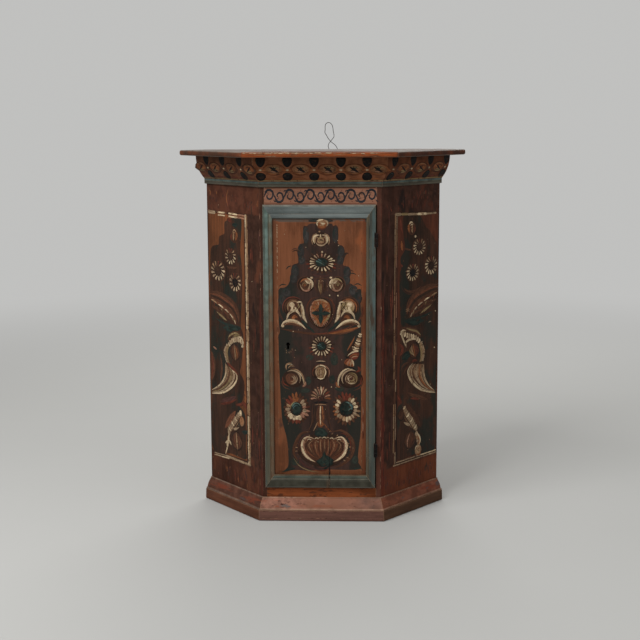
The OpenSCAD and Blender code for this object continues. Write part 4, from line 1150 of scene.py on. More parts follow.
def acorn(p):
    """Acorn with a hatched body in a ring, its cap drawn as two short lines."""
    p.at(*PLACES["acorn"])
    p.leaf([(-13, 30), (0, 31), (13, 30)], 4, "bone")
    p.leaf([(-12, 26), (0, 27), (11, 26)], 4.3, "black")
    p.oval(0, 1, 27, 25, "umber", 2)
    p.arcs(0, -1, 22, 22, 212, -32, 4.4, "rust", 3.4, "leaf")
    p.arcs(0, -1, 23, 22.5, 70, -30, 3.4, "blush", 4, "leaf")
    p.arcs(0, -1, 22.5, 22, 205, 130, 2.4, "red", 4, "leaf")
    p.oval(0, 0, 17, 18, "tan", 4)
    for u, paint in ((-12, "bone"), (-6, "gold"), (0, "bone"), (6, "gold"), (12, "cream")):
        p.leaf([(0.8 * u, 13), (1.1 * u, 0), (0.7 * u, -14)], 4.2, paint, 4.6)
    for u in (-9, -3, 3, 9):
        p.leaf([(0.8 * u, 11), (1.1 * u, 0), (0.7 * u, -12)], 1.4, "brown", 5.2)
    p.leaf([(-11, 4), (-1, 8), (9, 3)], 1.3, "brown", 5.2)
    p.arcs(0, 0, 18.5, 19.5, 150, 30, 4.4, "cream", 5, "leaf")
    p.leaf([(-10, -14), (0, -18), (10, -14)], 4, "cream", 5)


def snail(p, side, size, coil, hood):
    """Coiled shell under a bright hood with a warm tip."""
    left = side == "left"
    p.at(*PLACES[side + " snail"], left, size)
    p.oval(-4, 2, 31, 28, "umber", 2)
    p.leaf([(-33, -19), (-32, -2), (-25, 14), (-12, 25), (4, 25)], 7, hood, 4)
    p.leaf([(-33, -14), (-29, 3), (-20, 17), (-6, 24)], 3, "cream" if left else "bone", 5)
    p.leaf([(-28, -22), (-35, -17), (-38, -7)], 7, "blush" if left else "orange")
    p.arcs(0, 0, 23.5, 23, 60, 212, 5.2, "bone", 4, "leaf")
    p.arcs(0, 0, 27.5, 26, 70, 205, 2.2, "black", 4.6, "leaf")
    p.oval(0, 0, 17.5, 17.5, "brown")
    for i in range(13):
        radius, start = 15.5 - 0.9 * i, 137 * i + p.chance.uniform(-20, 20)
        p.arcs(0, 0, radius, radius, start, start + p.chance.uniform(80, 150), 3.3,
               (coil, "bone", coil, "brown", "tan" if left else "cream")[i % 5], 4.5, "leaf")
    p.oval(0, 0, 3, 2.8, "brown", 6)
    p.leaf([(7, -21), (22, -12), (25, 6)], 4.6, "red")
    p.leaf([(4, -30), (21, -22), (30, -3)], 3.4, "brown")


def feather(p):
    """Small curled feather over the left snail."""
    p.at(*PLACES["feather"])
    p.leaf([(-8, -11), (-9, 1), (-3, 7), (7, 8)], 5.2, "tan", 4)
    p.leaf([(-4, -7), (3, 1), (14, -1)], 3.4, "tan", 4)
    p.leaf([(-5, 3), (2, 6), (11, 3)], 2.4, "cream", 5)
    p.leaf([(-2, -6), (9, -6), (17, -10)], 3.7, "brown")


def plume(p):
    """Scaly plume in three lengths down the right edge of the field."""
    p.at(0, 0)
    p.leaf([(109, 511), (92, 478), (78, 446), (62, 411)], 31, "umber", 2)
    p.ribbed([(106, 516), (99, 492), (92, 470)], (4, 7, 9), 8, ("cream", "cream", "tan"))
    p.leaf([(92, 512), (84, 494), (70, 470)], 5, "orange")
    p.leaf([(100, 476), (108, 490), (111, 512)], 4, "brown")
    p.shape([(74, 453), (85, 465), (102, 467), (103, 457), (94, 445), (83, 445)], "red")
    p.leaf([(76, 454), (88, 460), (101, 460)], 4.3, "orange", 4)
    p.leaf([(71, 456), (84, 466), (102, 469)], 4, "cream", 5)
    p.leaf([(80, 450), (90, 455), (100, 455)], 3, "tan", 5)
    p.leaf([(62, 457), (73, 451), (83, 450)], 3.7, "black")
    p.shape([(62, 436), (68, 449), (82, 449), (86, 440), (89, 427), (75, 428)], "orange")
    p.leaf([(76, 449), (68, 441), (64, 434)], 4.6, "red", 4)
    p.leaf([(79, 449), (74, 439), (71, 429)], 4.4, "blush", 4.4)
    p.leaf([(82, 449), (81, 438), (79, 427)], 4.2, "bone", 4.6)
    p.leaf([(84, 447), (87, 437), (88, 428)], 4.2, "cream", 4.6)
    p.leaf([(70, 422), (83, 424), (93, 418)], 5.8, "black")
    p.leaf([(94, 412), (104, 418), (99, 428)], 8.5, "red")


def fan(p):
    """Spread of pointed rays over a dark cup."""
    p.at(*PLACES["fan"])
    for i, paint in enumerate(("orange", "blush", "red", "bone", "blush", "cream", "blush", "bone", "blush",
                               "tan", "blush")):
        angle = 18 * i
        p.leaf([on_ellipse(16, 18, angle), on_ellipse(31, 38, angle)], 7, "brown", 3)
        bend = on_ellipse(18, 20, angle + (6 if angle < 90 else -6))
        p.stroke([on_ellipse(10, 10, angle), bend, on_ellipse(27, 34, angle)], 6.2, paint, 4, "drop")
    p.oval(-1, 1, 9.6, 9, "plum", 5)
    p.leaf([(-7, -2), (-6, 6), (1, 8)], 2.4, "tan", 6)
    p.oval(1, -1, 3.5, 3, "umber", 6)
    p.leaf([(-20, -11), (0, -9), (21, -11)], 7, "black", 4)
    p.leaf([(-18, -17), (0, -15), (19, -17)], 3, "tan", 4)


def stem(p):
    """Stem that opens into a small flame over a dark dome."""
    p.at(*PLACES["stem"])
    p.leaf([(0, 26), (0, -1), (0, -46)], 29, "brown", 2)
    p.pair([(14, 20), (16, -2), (22, -36)], 6.9, "umber")
    p.pair([(20, 27), (23, 2), (24, -28), (36, -58)], 2.6, "brown", 2.6)
    p.stroke([(-6, 18), (-7, -2), (-9, -20)], 3.4, "brown", 4)
    p.stroke([(5, 18), (6, -2), (8, -20)], 3.6, "orange", 4)
    p.stroke([(0, 18), (-1, -7), (0, -32)], 3.4, "cream", 5)
    p.shape([(-1, -11), (4, -24), (10, -34), (0, -41), (-10, -35), (-5, -24)], "orange", 4)
    p.leaf([(-1, -12), (0, -26), (0, -37)], 2.4, "cream", 6)
    p.leaf([(-8, -25), (-14, -40), (-20, -52)], 3.4, "tan", 4)
    p.leaf([(9, -29), (18, -43), (31, -54)], 3.7, "orange", 4)
    p.shape([(-17, -63), (-14, -48), (-1, -40), (15, -48), (21, -63), (3, -70)], "green")


def shell(p):
    """Ribbed shell between two thick cream scrolls, with a dark foot and a fringe."""
    p.at(*PLACES["shell"])
    p.oval(-3, 6, 79, 54, "umber", 1.6)
    p.leaf([(-36, 57), (-62, 51), (-77, 25), (-83, -2), (-71, -29)], 11, "brown")
    p.leaf([(22, 56), (48, 60), (71, 41), (80, 15), (71, -16), (47, -40)], 11, "brown")
    p.leaf([(-38, 49), (-59, 41), (-70, 20), (-73, -5)], 3.7, "plum", 3.4)
    p.leaf([(43, 54), (62, 46), (72, 23), (70, -4)], 4.3, "red", 3.4)
    p.leaf([(-73, -15), (-49, -40), (-16, -51)], 6.9, "plum")
    p.leaf([(-84, -16), (-69, -38), (-43, -52), (-15, -57)], 2.9, "gold", 4)
    p.leaf([(-28, -50), (-3, -52), (19, -46)], 3.2, "red", 4)
    p.leaf([(71, -4), (54, -31), (27, -45)], 8, "brown")
    p.shape([(-59, 20), (-48, 39), (-27, 41), (0, 40), (27, 41), (48, 40), (58, 18), (48, -13), (24, -30),
             (-3, -16), (-27, -27), (-51, -10)], "rust", 2.4)
    for k in range(-4, 5):
        spread = 1 + 0.12 * abs(k)
        sink = 0.7 * abs(k) ** 1.5
        rib = [(10.2 * k, 40 - sink), (10.6 * k * spread, 23), (8.6 * k * spread, 3), (4.5 * k, -18)]
        p.leaf(rib, 10, ("brown", "rust", "rust")[k % 3], 3.4)
        p.leaf([(u + 1.4, v - 3) for u, v in rib[:3]], 2.2, "tan", 4)
        p.leaf([(u - 4.6, v - 2) for u, v in rib], 2.6, "umber", 4)
        p.arcs(10.2 * k, 36 - sink, 5.4, 5.6, 15, 165, 3.2, ("cream", "bone")[k % 2], 5, "leaf")
    crescent = [(30, 39), (45, 41), (56, 31), (59, 15), (54, -4), (42, -18), (23, -29)]
    p.pair(crescent, 12.5, "blush", 4.8)
    p.pair([(u + 1, v + 0.5) for u, v in crescent], 9.5, "cream", 5.2)
    p.pair([(36, 35), (47, 26), (50, 9), (42, -8)], 2.4, "umber", 5.4)
    p.shape([(0, 6), (4, -5), (16, -13), (27, -22), (24, -35), (11, -43), (4, -51), (-3, -47), (-16, -35),
             (-23, -26), (-11, -18), (-5, -7)], "green", 6)
    p.leaf([(-23, -41), (-3, -44), (9, -38)], 3.7, "plum", 7)
    for start, count, step, reach in ((70, 11, -12, 1.0), (120, 8, 13, 0.96)):
        for i in range(count):
            angle = start + step * i
            ends = [on_ellipse(75 * r, 48 * r, angle, -4, 6) for r in (0.95 * reach, 1.05 * reach)]
            p.leaf(ends, 3.4, "tan" if i % 4 < 2 else "brown", 4)


def plain_rosette(p, u, v, heart, inner, outer, shade):
    """Rosette with one ring of petals and a glint in its heart. heart, inner and outer are radii."""
    p.oval(u, v, outer[0] + 4, outer[1] + 4, "umber", 2)
    p.petals(u, v, (inner[0] + 9, inner[1] + 9), (outer[0] + 9, outer[1] + 8), 18, 5.6,
             by_angle((180, "umber"), (225, "red"), (315, "brown"), (360, "red")), 3, "leaf")
    p.petals(u, v, inner, outer, 18, 6.4,
             by_angle((55, "cream"), (80, "bone"), (115, shade), (150, "bone"), (360, "cream")), 4, "drop")
    p.oval(u, v, *heart, "green", 5)
    p.arcs(u, v, heart[0] + 1, heart[1] + 1, 15, 120, 2.6, "brown", 5.6, "leaf")
    size = heart[0] / 14
    p.stroke([(u - 13 * size, v + 3 * size), (u - 4 * size, v), (u + 7 * size, v - 7 * size)], 4 * size,
             "teal", 6, "comma")
    p.stroke([(u - 8 * size, v + 7 * size), (u + size, v + 2 * size)], 4 * size, "blue", 6, "comma")
    p.leaf([(u - 3 * size, v + 6 * size), (u + 5 * size, v + size)], 2 * size, "green", 7)


def double_rosette(p, u, v, more, inner_ring, outer_ring):
    """Rosette with an outer ring of dark broad petals. more is how much larger than the left one it is."""
    p.oval(u, v, 39, 45, "umber", 2)
    p.petals(u, v, (22 + more, 27 + more), (37 + more / 2, 44 + more), 22, 8.6, outer_ring, 3, "leaf")
    p.petals(u, v, (17 + more, 19 + more), (28.5 + more, 33 + more), 19, 10.4, inner_ring, 4, "line")
    p.oval(u, v, 16 + more, 18.5 + more, "green", 5)


def door_rosettes(p):
    """Two plain rosettes on the middle line and two double ones beside the stem."""
    p.at(0, 0)
    plain_rosette(p, *PLACES["high rosette"], (17.5, 12.5), (18.5, 13), (34, 24.5), "blush")
    plain_rosette(p, *PLACES["low rosette"], (12.8, 12.8), (14, 14), (27, 27), "bone")
    double_rosette(p, *PLACES["left rosette"], 0,
                   by_angle((20, "blush"), (60, "bone"), (82, "brown"), (112, "orange"), (150, "red"),
                            (165, "tan"), (210, "bone"), (300, "cream"), (335, "blush"), (360, "bone")),
                   by_angle((12, "red"), (85, "brown"), (112, "orange"), (150, "red"), (250, "brown"),
                            (300, "red"), (330, "brown"), (360, "blush")))
    double_rosette(p, *PLACES["right rosette"], 3,
                   by_angle((55, "cream"), (75, "tan"), (110, "red"), (135, "brown"), (165, "cream"),
                            (195, "tan"), (235, "bone"), (262, "tan"), (300, "cream"), (360, "bone")),
                   by_angle((60, "brown"), (130, "red"), (165, "brown"), (205, "orange"), (330, "brown"),
                            (360, "tan")))
    p.arcs(-67, 312, 12, 14, 165, 20, 6, "teal", 6, "comma")
    p.arcs(-67, 309, 9, 10, 170, 40, 4, "blue", 6, "comma")
    p.arcs(-67, 311, 16, 19, 90, 190, 4, "gold", 6, "leaf")
    p.arcs(68, 312, 14, 17, 100, -10, 6, "teal", 6, "leaf")
    p.leaf([(78, 326), (84, 318), (83, 308)], 6, "blue", 6)
    p.leaf([(72, 305), (79, 311), (85, 309)], 3.4, "teal", 6)


# Dark green clouds between the ornaments of the door: middle, half width and half height
CLOUDS = ((-42, 361, 15, 8), (51, 366, 15, 8), (36, 447, 12, 20), (-34, 388, 9, 14), (92, 168, 10, 14),
          (-72, 162, 12, 12), (-30, 452, 12, 9), (30, 392, 9, 14))
# Green-black lobes along the edge of the door's dark ground: middle, half width and half height
LOBES = ((-38, 782, 8, 24), (-52, 738, 9, 20), (-50, 716, 9, 14), (-68, 686, 10.5, 18), (-72, 666, 10, 14),
         (-92, 628, 14, 14), (-102, 606, 11, 22), (39, 782, 8, 24), (54, 738, 9, 17), (52, 716, 9, 14),
         (70, 682, 10, 17), (68, 662, 10, 14), (86, 634, 12, 14), (99, 614, 10, 20), (-16, 820, 15, 3),
         (18, 820, 13, 3))
# Thin curls on that edge: paint and points
CURLS = (("brown", ((-78, 741), (-66, 746), (-52, 737))), ("umber", ((-76, 737), (-66, 741), (-54, 736))),
         ("umber", ((62, 733), (69, 734), (75, 731))), ("green", ((76, 679), (86, 680), (95, 676))),
         ("brown", ((76, 682), (80, 688), (88, 684))), ("green", ((-77, 700), (-86, 697), (-92, 690))),
         ("green", ((-90, 648), (-102, 650), (-112, 644))), ("green", ((88, 648), (99, 652), (110, 646))))


def tufts(p):
    """Green clouds of the dark ground, and round lobes along its edge with a thin curl at some of them."""
    p.at(0, 0)
    for u, v, half_width, half_height in CLOUDS:
        p.oval(u, v, half_width, half_height, "moss", 1.3)
    for u, v, half_width, half_height in LOBES:
        p.oval(u, v, half_width + 1, half_height + 1, "slate", 1.4)
        p.arcs(u, v, 0.62 * half_width, 0.7 * half_height, 70, 200, 2.6, "green", 1.8, "leaf")
        p.arcs(u, v, 0.3 * half_width, 0.5 * half_height, 60, 190, 2.2, "green", 1.8, "leaf")
    for paint, curl in CURLS:
        p.leaf(curl, 3.4, paint, 1.8)


def door_wear(p):
    """Rubbed arrises, flecks, the long crack and the scratches round the keyhole."""
    p.at(0, 0)
    for i in range(34):
        z = 690 + i * 3.6 + p.chance.uniform(-2, 2)
        if p.chance.random() < 0.72:
            p.chip(-115.4, z, (-0.2, 1.0), (-4, -9), (0.8, 1.9), "cream", 2)
    for i in range(46):
        z = 150 + i * 14 + p.chance.uniform(-6, 6)
        u, paint = p.chance.choice(((109.3, "tan"), (109.0, "red"), (-115.6, "tan"), (-115.2, "brown")))
        p.chip(u, z, (-0.5, 0.5), (-4, -13), (0.7, 1.6), paint, 2)
    for i in range(70):
        u, z = p.chance.uniform(-108, 104), p.chance.uniform(150, 800)
        size = p.chance.uniform(0.5, 1.2)
        p.oval(u, z, size, size * p.chance.uniform(0.7, 1.5), p.chance.choice(("tan", "cream", "brown")), 8)
    for u, z, size in ((85, 481, 1.7), (48, 754, 1.6), (-74, 523, 1.5), (28, 371, 1.6), (24, 621, 2.0),
                       (46, 620, 2.4)):
        p.oval(u, z, size, size, "cream", 8)
    for i in range(16):
        angle = 200 + i * 10 + p.chance.uniform(-8, 8)
        r = p.chance.uniform(9, 17)
        u, v = on_ellipse(0.75 * r, r, angle, KEY_X, KEY_Z - 4)
        p.leaf([(u, v), (u + p.chance.uniform(-1, 1), v - p.chance.uniform(1.5, 4))], 1.3, "tan", 3)
    for z, length, paint in ((318, 30, "blush"), (300, 26, "red"), (276, 30, "blush"), (250, 24, "red")):
        p.leaf([(112.6, z), (113.4, z - length / 2), (112.8, z - length)], 3, paint, 2)
    crack = [(CRACK_X + p.chance.uniform(-0.7, 0.7), 136 + 15 * i) for i in range(10)]
    p.stroke(crack[::-1], 3.0, "black", 9, "drop")
    p.stroke([(CRACK_X, 146), (CRACK_X + 0.4, 136), (CRACK_X, 126)], 3.8, "black", 9)


def paint_door():
    """Flowers, fruit and scrolls one above the other on the door's raised field."""
    p = Painting("door_painting", front_spot(FIELD_Y), 11)
    outline = smooth_line(DOOR_GROUND_RIGHT) + smooth_line(DOOR_GROUND_LEFT[::-1])
    p.ground(outline, "door_ground", 1, hole=keyhole_outline())
    tufts(p)
    top_bud(p)
    tulip(p)
    dart(p)
    berry(p, "left", "orange", "orange")
    berry(p, "right", "gold", "gold")
    egg(p)
    bell(p, "left")
    bell(p, "right")
    swag(p)
    acorn(p)
    snail(p, "left", 1.0, "rust", "tan")
    snail(p, "right", 1.08, "gold", "cream")
    feather(p)
    plume(p)
    fan(p)
    stem(p)
    shell(p)
    door_rosettes(p)
    p.at(0, 0)
    p.stroke([(-72, 143), (-90, 140), (-109, 132)], 6.9, "green", 2, "comma")
    p.stroke([(88, 142), (105, 145), (114, 139)], 6.4, "green", 2, "comma")
    door_wear(p)
    p.finish("door", "orange_paint")


def side_spot(side):
    """Maps (from the front corner, up, out) on a side board to the frame."""
    sign = -1 if side == "left" else 1
    run = Vector((sign * math.cos(SIDE_ANGLE), math.sin(SIDE_ANGLE), 0))
    outward = Vector((sign * math.sin(SIDE_ANGLE), -math.cos(SIDE_ANGLE), 0))
    corner = Vector((sign * HALF_FRONT, FRONT_Y, 0))
    return lambda s, z, out: corner + run * (s * MM) + outward * (out * MM) + Vector((0, 0, z * MM))


# Dark silhouettes of the two side panels
LEFT_DARK = [
    (90, 820), (120, 823), (148, 814), (168, 806), (171, 790), (172, 774), (186, 768), (198, 762), (201, 742),
    (218, 738), (233, 733), (243, 712), (249, 600), (250, 450), (249, 300), (247, 148), (150, 151), (82, 150),
    (80, 180), (80, 262), (92, 286), (116, 300), (96, 312), (85, 340), (86, 372), (104, 392), (98, 412),
    (94, 433), (88, 470), (86, 501), (97, 528), (90, 600), (87, 677), (95, 732), (88, 788)]
RIGHT_DARK = [
    (96, 824), (140, 826), (168, 822), (184, 806), (196, 790), (212, 780), (227, 764), (238, 750), (248, 720),
    (250, 500), (250, 300), (249, 153), (150, 152), (78, 150), (76, 200), (74, 294), (95, 311), (83, 340),
    (84, 430), (86, 513), (86, 545), (81, 600), (80, 664), (88, 685), (84, 712), (103, 738), (94, 787)]


# Middles of the bud and of the two pods on each side panel, and the root of the broad leaf
BUD_AT = {"left": (125, 769), "right": (132, 790)}
PODS_AT = {"left": ((128, 446), (125, 193)), "right": ((147, 450), (131, 198))}
LEAF_AT = {"left": (105, 536), "right": (112, 556)}
# Daisies: middle, half width, half height, heart and number of petals
DAISIES = {"left": ((143, 713, 26, 23, "umber", 12), (207, 667, 35, 28, "umber", 13),
                    (122, 643, 28, 26, "black", 12)),
           "right": ((167, 737, 28, 23, "umber", 14), (221, 681, 28, 26, "umber", 14),
                     (138, 669, 27, 24, "black", 14))}


def worn_line(p, start, end, width, paints, layer=3, fresh=0.95):
    """A painted line in short worn lengths. fresh is the share of it that is still there."""
    start, end = Vector(start), Vector(end)
    steps = max(1, round((end - start).length / 34))
    for i in range(steps):
        points = [start.lerp(end, (i + k) / steps) for k in (0, 0.5, 1.03)]
        points[1] += Vector((p.chance.uniform(-0.5, 0.5), p.chance.uniform(-0.5, 0.5)))
        paint = p.chance.choice(paints)
        if p.chance.random() < fresh:
            p.stroke(points, width * p.chance.uniform(0.85, 1.1), paint, layer + 0.2 * (i % 2))


def side_bud(p, u, v, tip):
    """Small bud at the top of a side panel."""
    p.at(u, v)
    p.oval(0, 0, 21, 20, "brown", 2)
    p.leaf([(-8, 14), (-14, 4), (-8, -11)], 12, "orange")
    p.leaf([(4, 10), (1, 1), (3, -12)], 9, "tan", 4)
    p.leaf([(-12, 12), (-4, 17), (5, 16)], 6, tip, 5)
    p.leaf([(-6, 8), (0, 11), (8, 12)], 4, tip, 5)
    p.leaf([(10, 6), (14, -2), (12, -11)], 7, "red", 4)
    p.leaf([(-2, 4), (-3, -6), (0, -15)], 3, "umber", 5)


def side_flower(p, u, v, ru, rv, heart, count):
    """Daisy of narrow petals that lean to one side, brightest below."""
    p.at(u, v)
    p.oval(0, 0, ru * 1.08, rv * 1.08, "umber", 2)
    p.arcs(0, 0, 1.05 * ru, 1.05 * rv, 100, 260, 0.16 * rv, "brown", 2.6, "leaf")
    p.arcs(0, 0, 1.02 * ru, 1.02 * rv, -80, 80, 0.14 * rv, "brown", 2.6, "leaf")
    petal = by_angle((40, "bone"), (70, "tan"), (115, "red"), (140, "tan"), (165, "bone"), (215, "cream"),
                     (300, "cream"), (360, "bone"))
    for i in range(count):
        angle = 360 * (i + 0.5) / count
        bent = ((0.50, 14), (0.76, 3), (1, 0))
        p.stroke([on_ellipse(share * ru, share * rv, angle - lag) for share, lag in bent], 0.34 * rv,
                 petal(angle), 4, "drop")
    p.oval(0, 0, 0.50 * ru, 0.52 * rv, heart, 5)
    p.arcs(0, 0, 0.45 * ru, 0.47 * rv, 30, 150, 0.1 * rv, "brown", 5.6, "leaf")


def side_leaf(p, u, v):
    """Broad curled leaf: its ribs side by side, a broken cream midrib and short veins."""
    p.at(u, v)
    crest = [(147, 68), (111, 72), (72, 66), (28, 52), (2, 28), (-3, 0)]
    midrib = [(140, 46), (104, 36), (72, 26), (47, 16), (26, 2), (16, -12)]
    p.band(crest, midrib, 5, ("brown", "rust", "umber", "brown", "rust"), 17, 3)
    p.leaf([(135, 28), (96, 19), (44, 7), (10, -11)], 26, "brown", 3)
    p.leaf([(112, 14), (92, 6), (60, -6)], 8, "gold", 3.5)
    for i in range(6):
        root = Vector((128, 40)).lerp(Vector((34, 4)), i / 5)
        vein = [root, root + Vector((-6, -4)), root + Vector((-6, -11 + i))]
        p.leaf(vein, 5, ("red", "umber", "gold")[i % 3], 4)
    for i, (start, end) in enumerate(zip(midrib, midrib[1:])):
        start = Vector(start)
        far = start.lerp(Vector(end), 0.86)
        p.leaf([start, (start + far) / 2 + Vector((0, 1.4)), far], 6.4 - 0.4 * i, "cream" if i else "tan", 5)
    p.leaf([(117, -6), (65, -16), (4, -14)], 9, "green", 3)
    p.leaf([(80, -27), (34, -25), (-9, -17)], 26, "green", 2)


def pod(p, u, v, height, lean, paints):
    """Round brown pod with bright streaks."""
    p.at(u, v)
    p.oval(0, 0, 0.55 * height, 0.54 * height, "umber", 2.4)
    p.oval(0, 0, 0.48 * height, 0.48 * height, "brown", 3)
    for i, paint in enumerate(paints):
        at = 0.36 * height * (2 * i / (len(paints) - 1) - 1)
        reach = 0.46 * height - 0.55 * abs(at)
        p.leaf([(0.6 * at + lean, reach), (1.1 * at, 0), (0.6 * at - lean, -reach)], 0.15 * height, paint, 4)
        p.leaf([(0.6 * at + lean + 3, reach - 3), (1.1 * at + 4, 0), (0.6 * at - lean + 3, 3 - reach)], 1.6,
               "umber", 5)


def horn(p, belly, back, paints):
    """Curved horn: a fill with stripes from root to tip, and a cream line along both edges."""
    p.at(0, 0)
    p.shape([*smooth_line(back)[::6], *smooth_line(belly)[::-6]], "tan", 3)
    p.band(back, belly, len(paints), paints, 8.5, 4)
    p.band(back, belly, 4, ("umber", "brown"), 2.6, 5)
    p.leaf(back, 6, "cream", 5)
    p.leaf(belly, 8, "cream", 5.4)
    p.leaf([Vector(a).lerp(Vector(b), 0.22) for a, b in zip(belly, back)], 4, "cream", 5.2)


def crested_head(p, crest, neck):
    """Ribbed crest under a brown cap, which curves over into a scaly neck."""
    p.at(0, 0)
    p.leaf([(u + 4, v + 13) for u, v in crest], 27, "brown", 2.4)
    p.leaf([(u + 5, v + 17) for u, v in crest[1:]], 8, "gold", 2.8)
    p.leaf([(u + 3, v + 9) for u, v in crest], 5, "umber", 3)
    p.leaf(crest, 15, "bone", 3.6)
    p.ribbed(crest, (6, 8, 7), 10, ("cream", "bone", "cream"))
    p.leaf(neck, 23, "tan", 3.2)
    p.leaf([(u - 5, v - 2) for u, v in neck], 8, "gold", 3.6)
    line = smooth_line(neck)
    for i in range(26):
        at = line[min(len(line) - 1, i * len(line) // 26)]
        for shift, paint in ((7.5, "cream"), (2.5, "bone"), (-3.5, "gold")):
            p.oval(at.x + shift + p.chance.uniform(-1, 1), at.y, p.chance.uniform(1.4, 2.6),
                   p.chance.uniform(0.9, 1.6), paint, 4.4)


def tail_scroll(p, spine, tail, lobe):
    """Scaly body under a dark red band, with a lobe beside its head and a knotted tail."""
    p.at(0, 0)
    warm = lobe == "amber"
    p.leaf([(u + 21, v + 7) for u, v in spine], 24, "rust" if warm else "brown", 2)
    u, v = spine[0][0] - 9, spine[0][1] - 17
    p.oval(u, v, 17, 19, "umber", 2.6)
    p.oval(u, v, 13.5, 16, lobe, 3.2)
    p.arcs(u, v, 10, 12, 150, 330, 3.4, "tan" if warm else "brown", 4, "leaf")
    p.leaf(spine, 28, "tan", 3.4)
    p.ribbed([(u + 4, v + 2) for u, v in spine], (6, 9, 7), 11, ("cream", "bone", "bone"))
    p.leaf([(u - 7, v - 2) for u, v in spine], 5, "umber", 4.6)
    (u, v), (far_u, far_v) = spine[1:3]
    p.leaf([(u - 16, v - 14), (far_u - 12, far_v - 3), (far_u + 4, far_v + 4)], 9, "bone", 4.4)
    for i in range(4):
        at = Vector(tail[0]).lerp(Vector(tail[-1]), 0.1 + 0.26 * i)
        p.oval(at.x, at.y, 7.5 - i, 8.5 - i, ("bone", "tan")[i % 2], 4)
    p.leaf([(u + 2, v) for u, v in tail], 7, "cream", 5)


def left_grounds(p):
    """Orange panel, its dark silhouette, and the worn cream lines round it."""
    p.ground([(76, 146), (252, 143), (252, 828), (76, 826)], "panel_orange", 0.5)
    p.ground(smooth_line(LEFT_DARK, closed=True), "panel_dark", 1)
    worn_line(p, (66, 832), (64, 138), 15, ("tan", "bone", "tan"), 2.2, fresh=1.0)
    worn_line(p, (69, 832), (67, 138), 6, ("cream", "cream", "bone"), 3.4, fresh=0.92)
    worn_line(p, (61.5, 826), (59.5, 141), 4, ("bone", "tan"), 3.4, fresh=0.8)
    worn_line(p, (253, 830), (216, 829), 12, ("bone", "cream"))
    for v, width in ((830.5, 5.5), (823, 5)):
        worn_line(p, (203, v), (168, v), width, ("cream",))
        worn_line(p, (150, v), (66, v - 3), width, ("cream", "blush"))
    worn_line(p, (184, 138.5), (58, 138), 8, ("blush", "bone", "bone"))
    worn_line(p, (242, 136), (179, 139), 4, ("cream", "bone"))
    worn_line(p, (242, 130), (165, 134), 4, ("cream", "bone"))


def left_spray(p):
    """Bud, three daisies and the broad leaf."""
    p.leaf([(159, 814), (145, 812), (134, 806)], 12, "red", 2)
    p.leaf([(133, 801), (118, 800), (106, 803)], 16, "green", 2)
    side_bud(p, *BUD_AT["left"], "tan")
    for daisy in DAISIES["left"]:
        side_flower(p, *daisy)
    p.at(0, 0)
    p.leaf([(164, 684), (151, 681), (129, 682), (109, 685)], 9, "brown", 2)
    side_leaf(p, *LEAF_AT["left"])


def left_scroll(p):
    """Crested head with a pod under it, which ends in the horn."""
    p.at(0, 0)
    p.leaf([(138, 489), (117, 494), (99, 490), (92, 479)], 13, "gold", 3)
    crested_head(p, [(89, 466), (98, 482), (122, 483), (146, 474), (158, 462)],
                 [(160, 464), (174, 440), (162, 412)])
    p.leaf([(92, 464), (88, 480), (98, 492), (118, 490)], 8, "cream", 5)
    pod(p, *PODS_AT["left"][0], 50, 4, ("rust", "orange", "tan", "rust", "brown"))
    p.at(0, 0)
    p.leaf([(170, 412), (152, 403), (132, 394), (112, 384)], 12, "red", 4)
    for u, width, paint, layer in ((245, 24, "brown", 2), (203, 11, "brown", 2), (248, 9, "red", 2.4)):
        p.leaf([(u, 432), (u - 8, 390), (u + 2, 348)], width, paint, layer)
    p.leaf([(238, 447), (229, 444), (219, 441)], 6, "blush", 4)
    horn(p, [(150, 396), (122, 384), (124, 366), (146, 345), (190, 322), (250, 308)],
         [(176, 410), (174, 392), (180, 370), (196, 350), (218, 334), (250, 319)],
         ("bone", "brown", "gold", "bone", "brown"))


def left_tail(p):
    """Red bands under the horn, and the tail scroll with its pod."""
    for width, paint, rise in ((20, "plum", 0), (11, "red", -8)):
        p.leaf([(206, 293 + rise), (160, 306 + rise), (124, 321 + rise)], width, paint, 2)
    p.leaf([(127, 297), (103, 302), (85, 309)], 11, "red")
    p.leaf([(97, 310), (85, 307), (74, 295)], 15, "red", 2.6)
    p.leaf([(83, 347), (80, 328), (83, 304)], 13, "orange", 2)
    tail_scroll(p, [(108, 272), (128, 250), (148, 229), (163, 212)],
                [(161, 220), (164, 192), (170, 170), (182, 142)], "amber")
    p.oval(105, 277, 7.5, 9.5, "cream", 4)
    p.leaf([(184, 176), (164, 184), (152, 176)], 12, "cream", 5)
    pod(p, *PODS_AT["left"][1], 56, 3, ("brown", "rust", "tan", "rust", "brown"))
    p.at(0, 0)
    p.leaf([(99, 226), (84, 226), (71, 233)], 14, "green", 2)


def paint_left_side():
    """Bud, three daisies, leaf, crested head, horn and tail scroll on the left side panel."""
    p = Painting("side_painting_left", side_spot("left"), 23)
    left_grounds(p)
    left_spray(p)
    left_scroll(p)
    left_tail(p)
    side_wear(p, "orange", (0.10, 0.26))
    p.finish("carcass", "dark_red_paint")


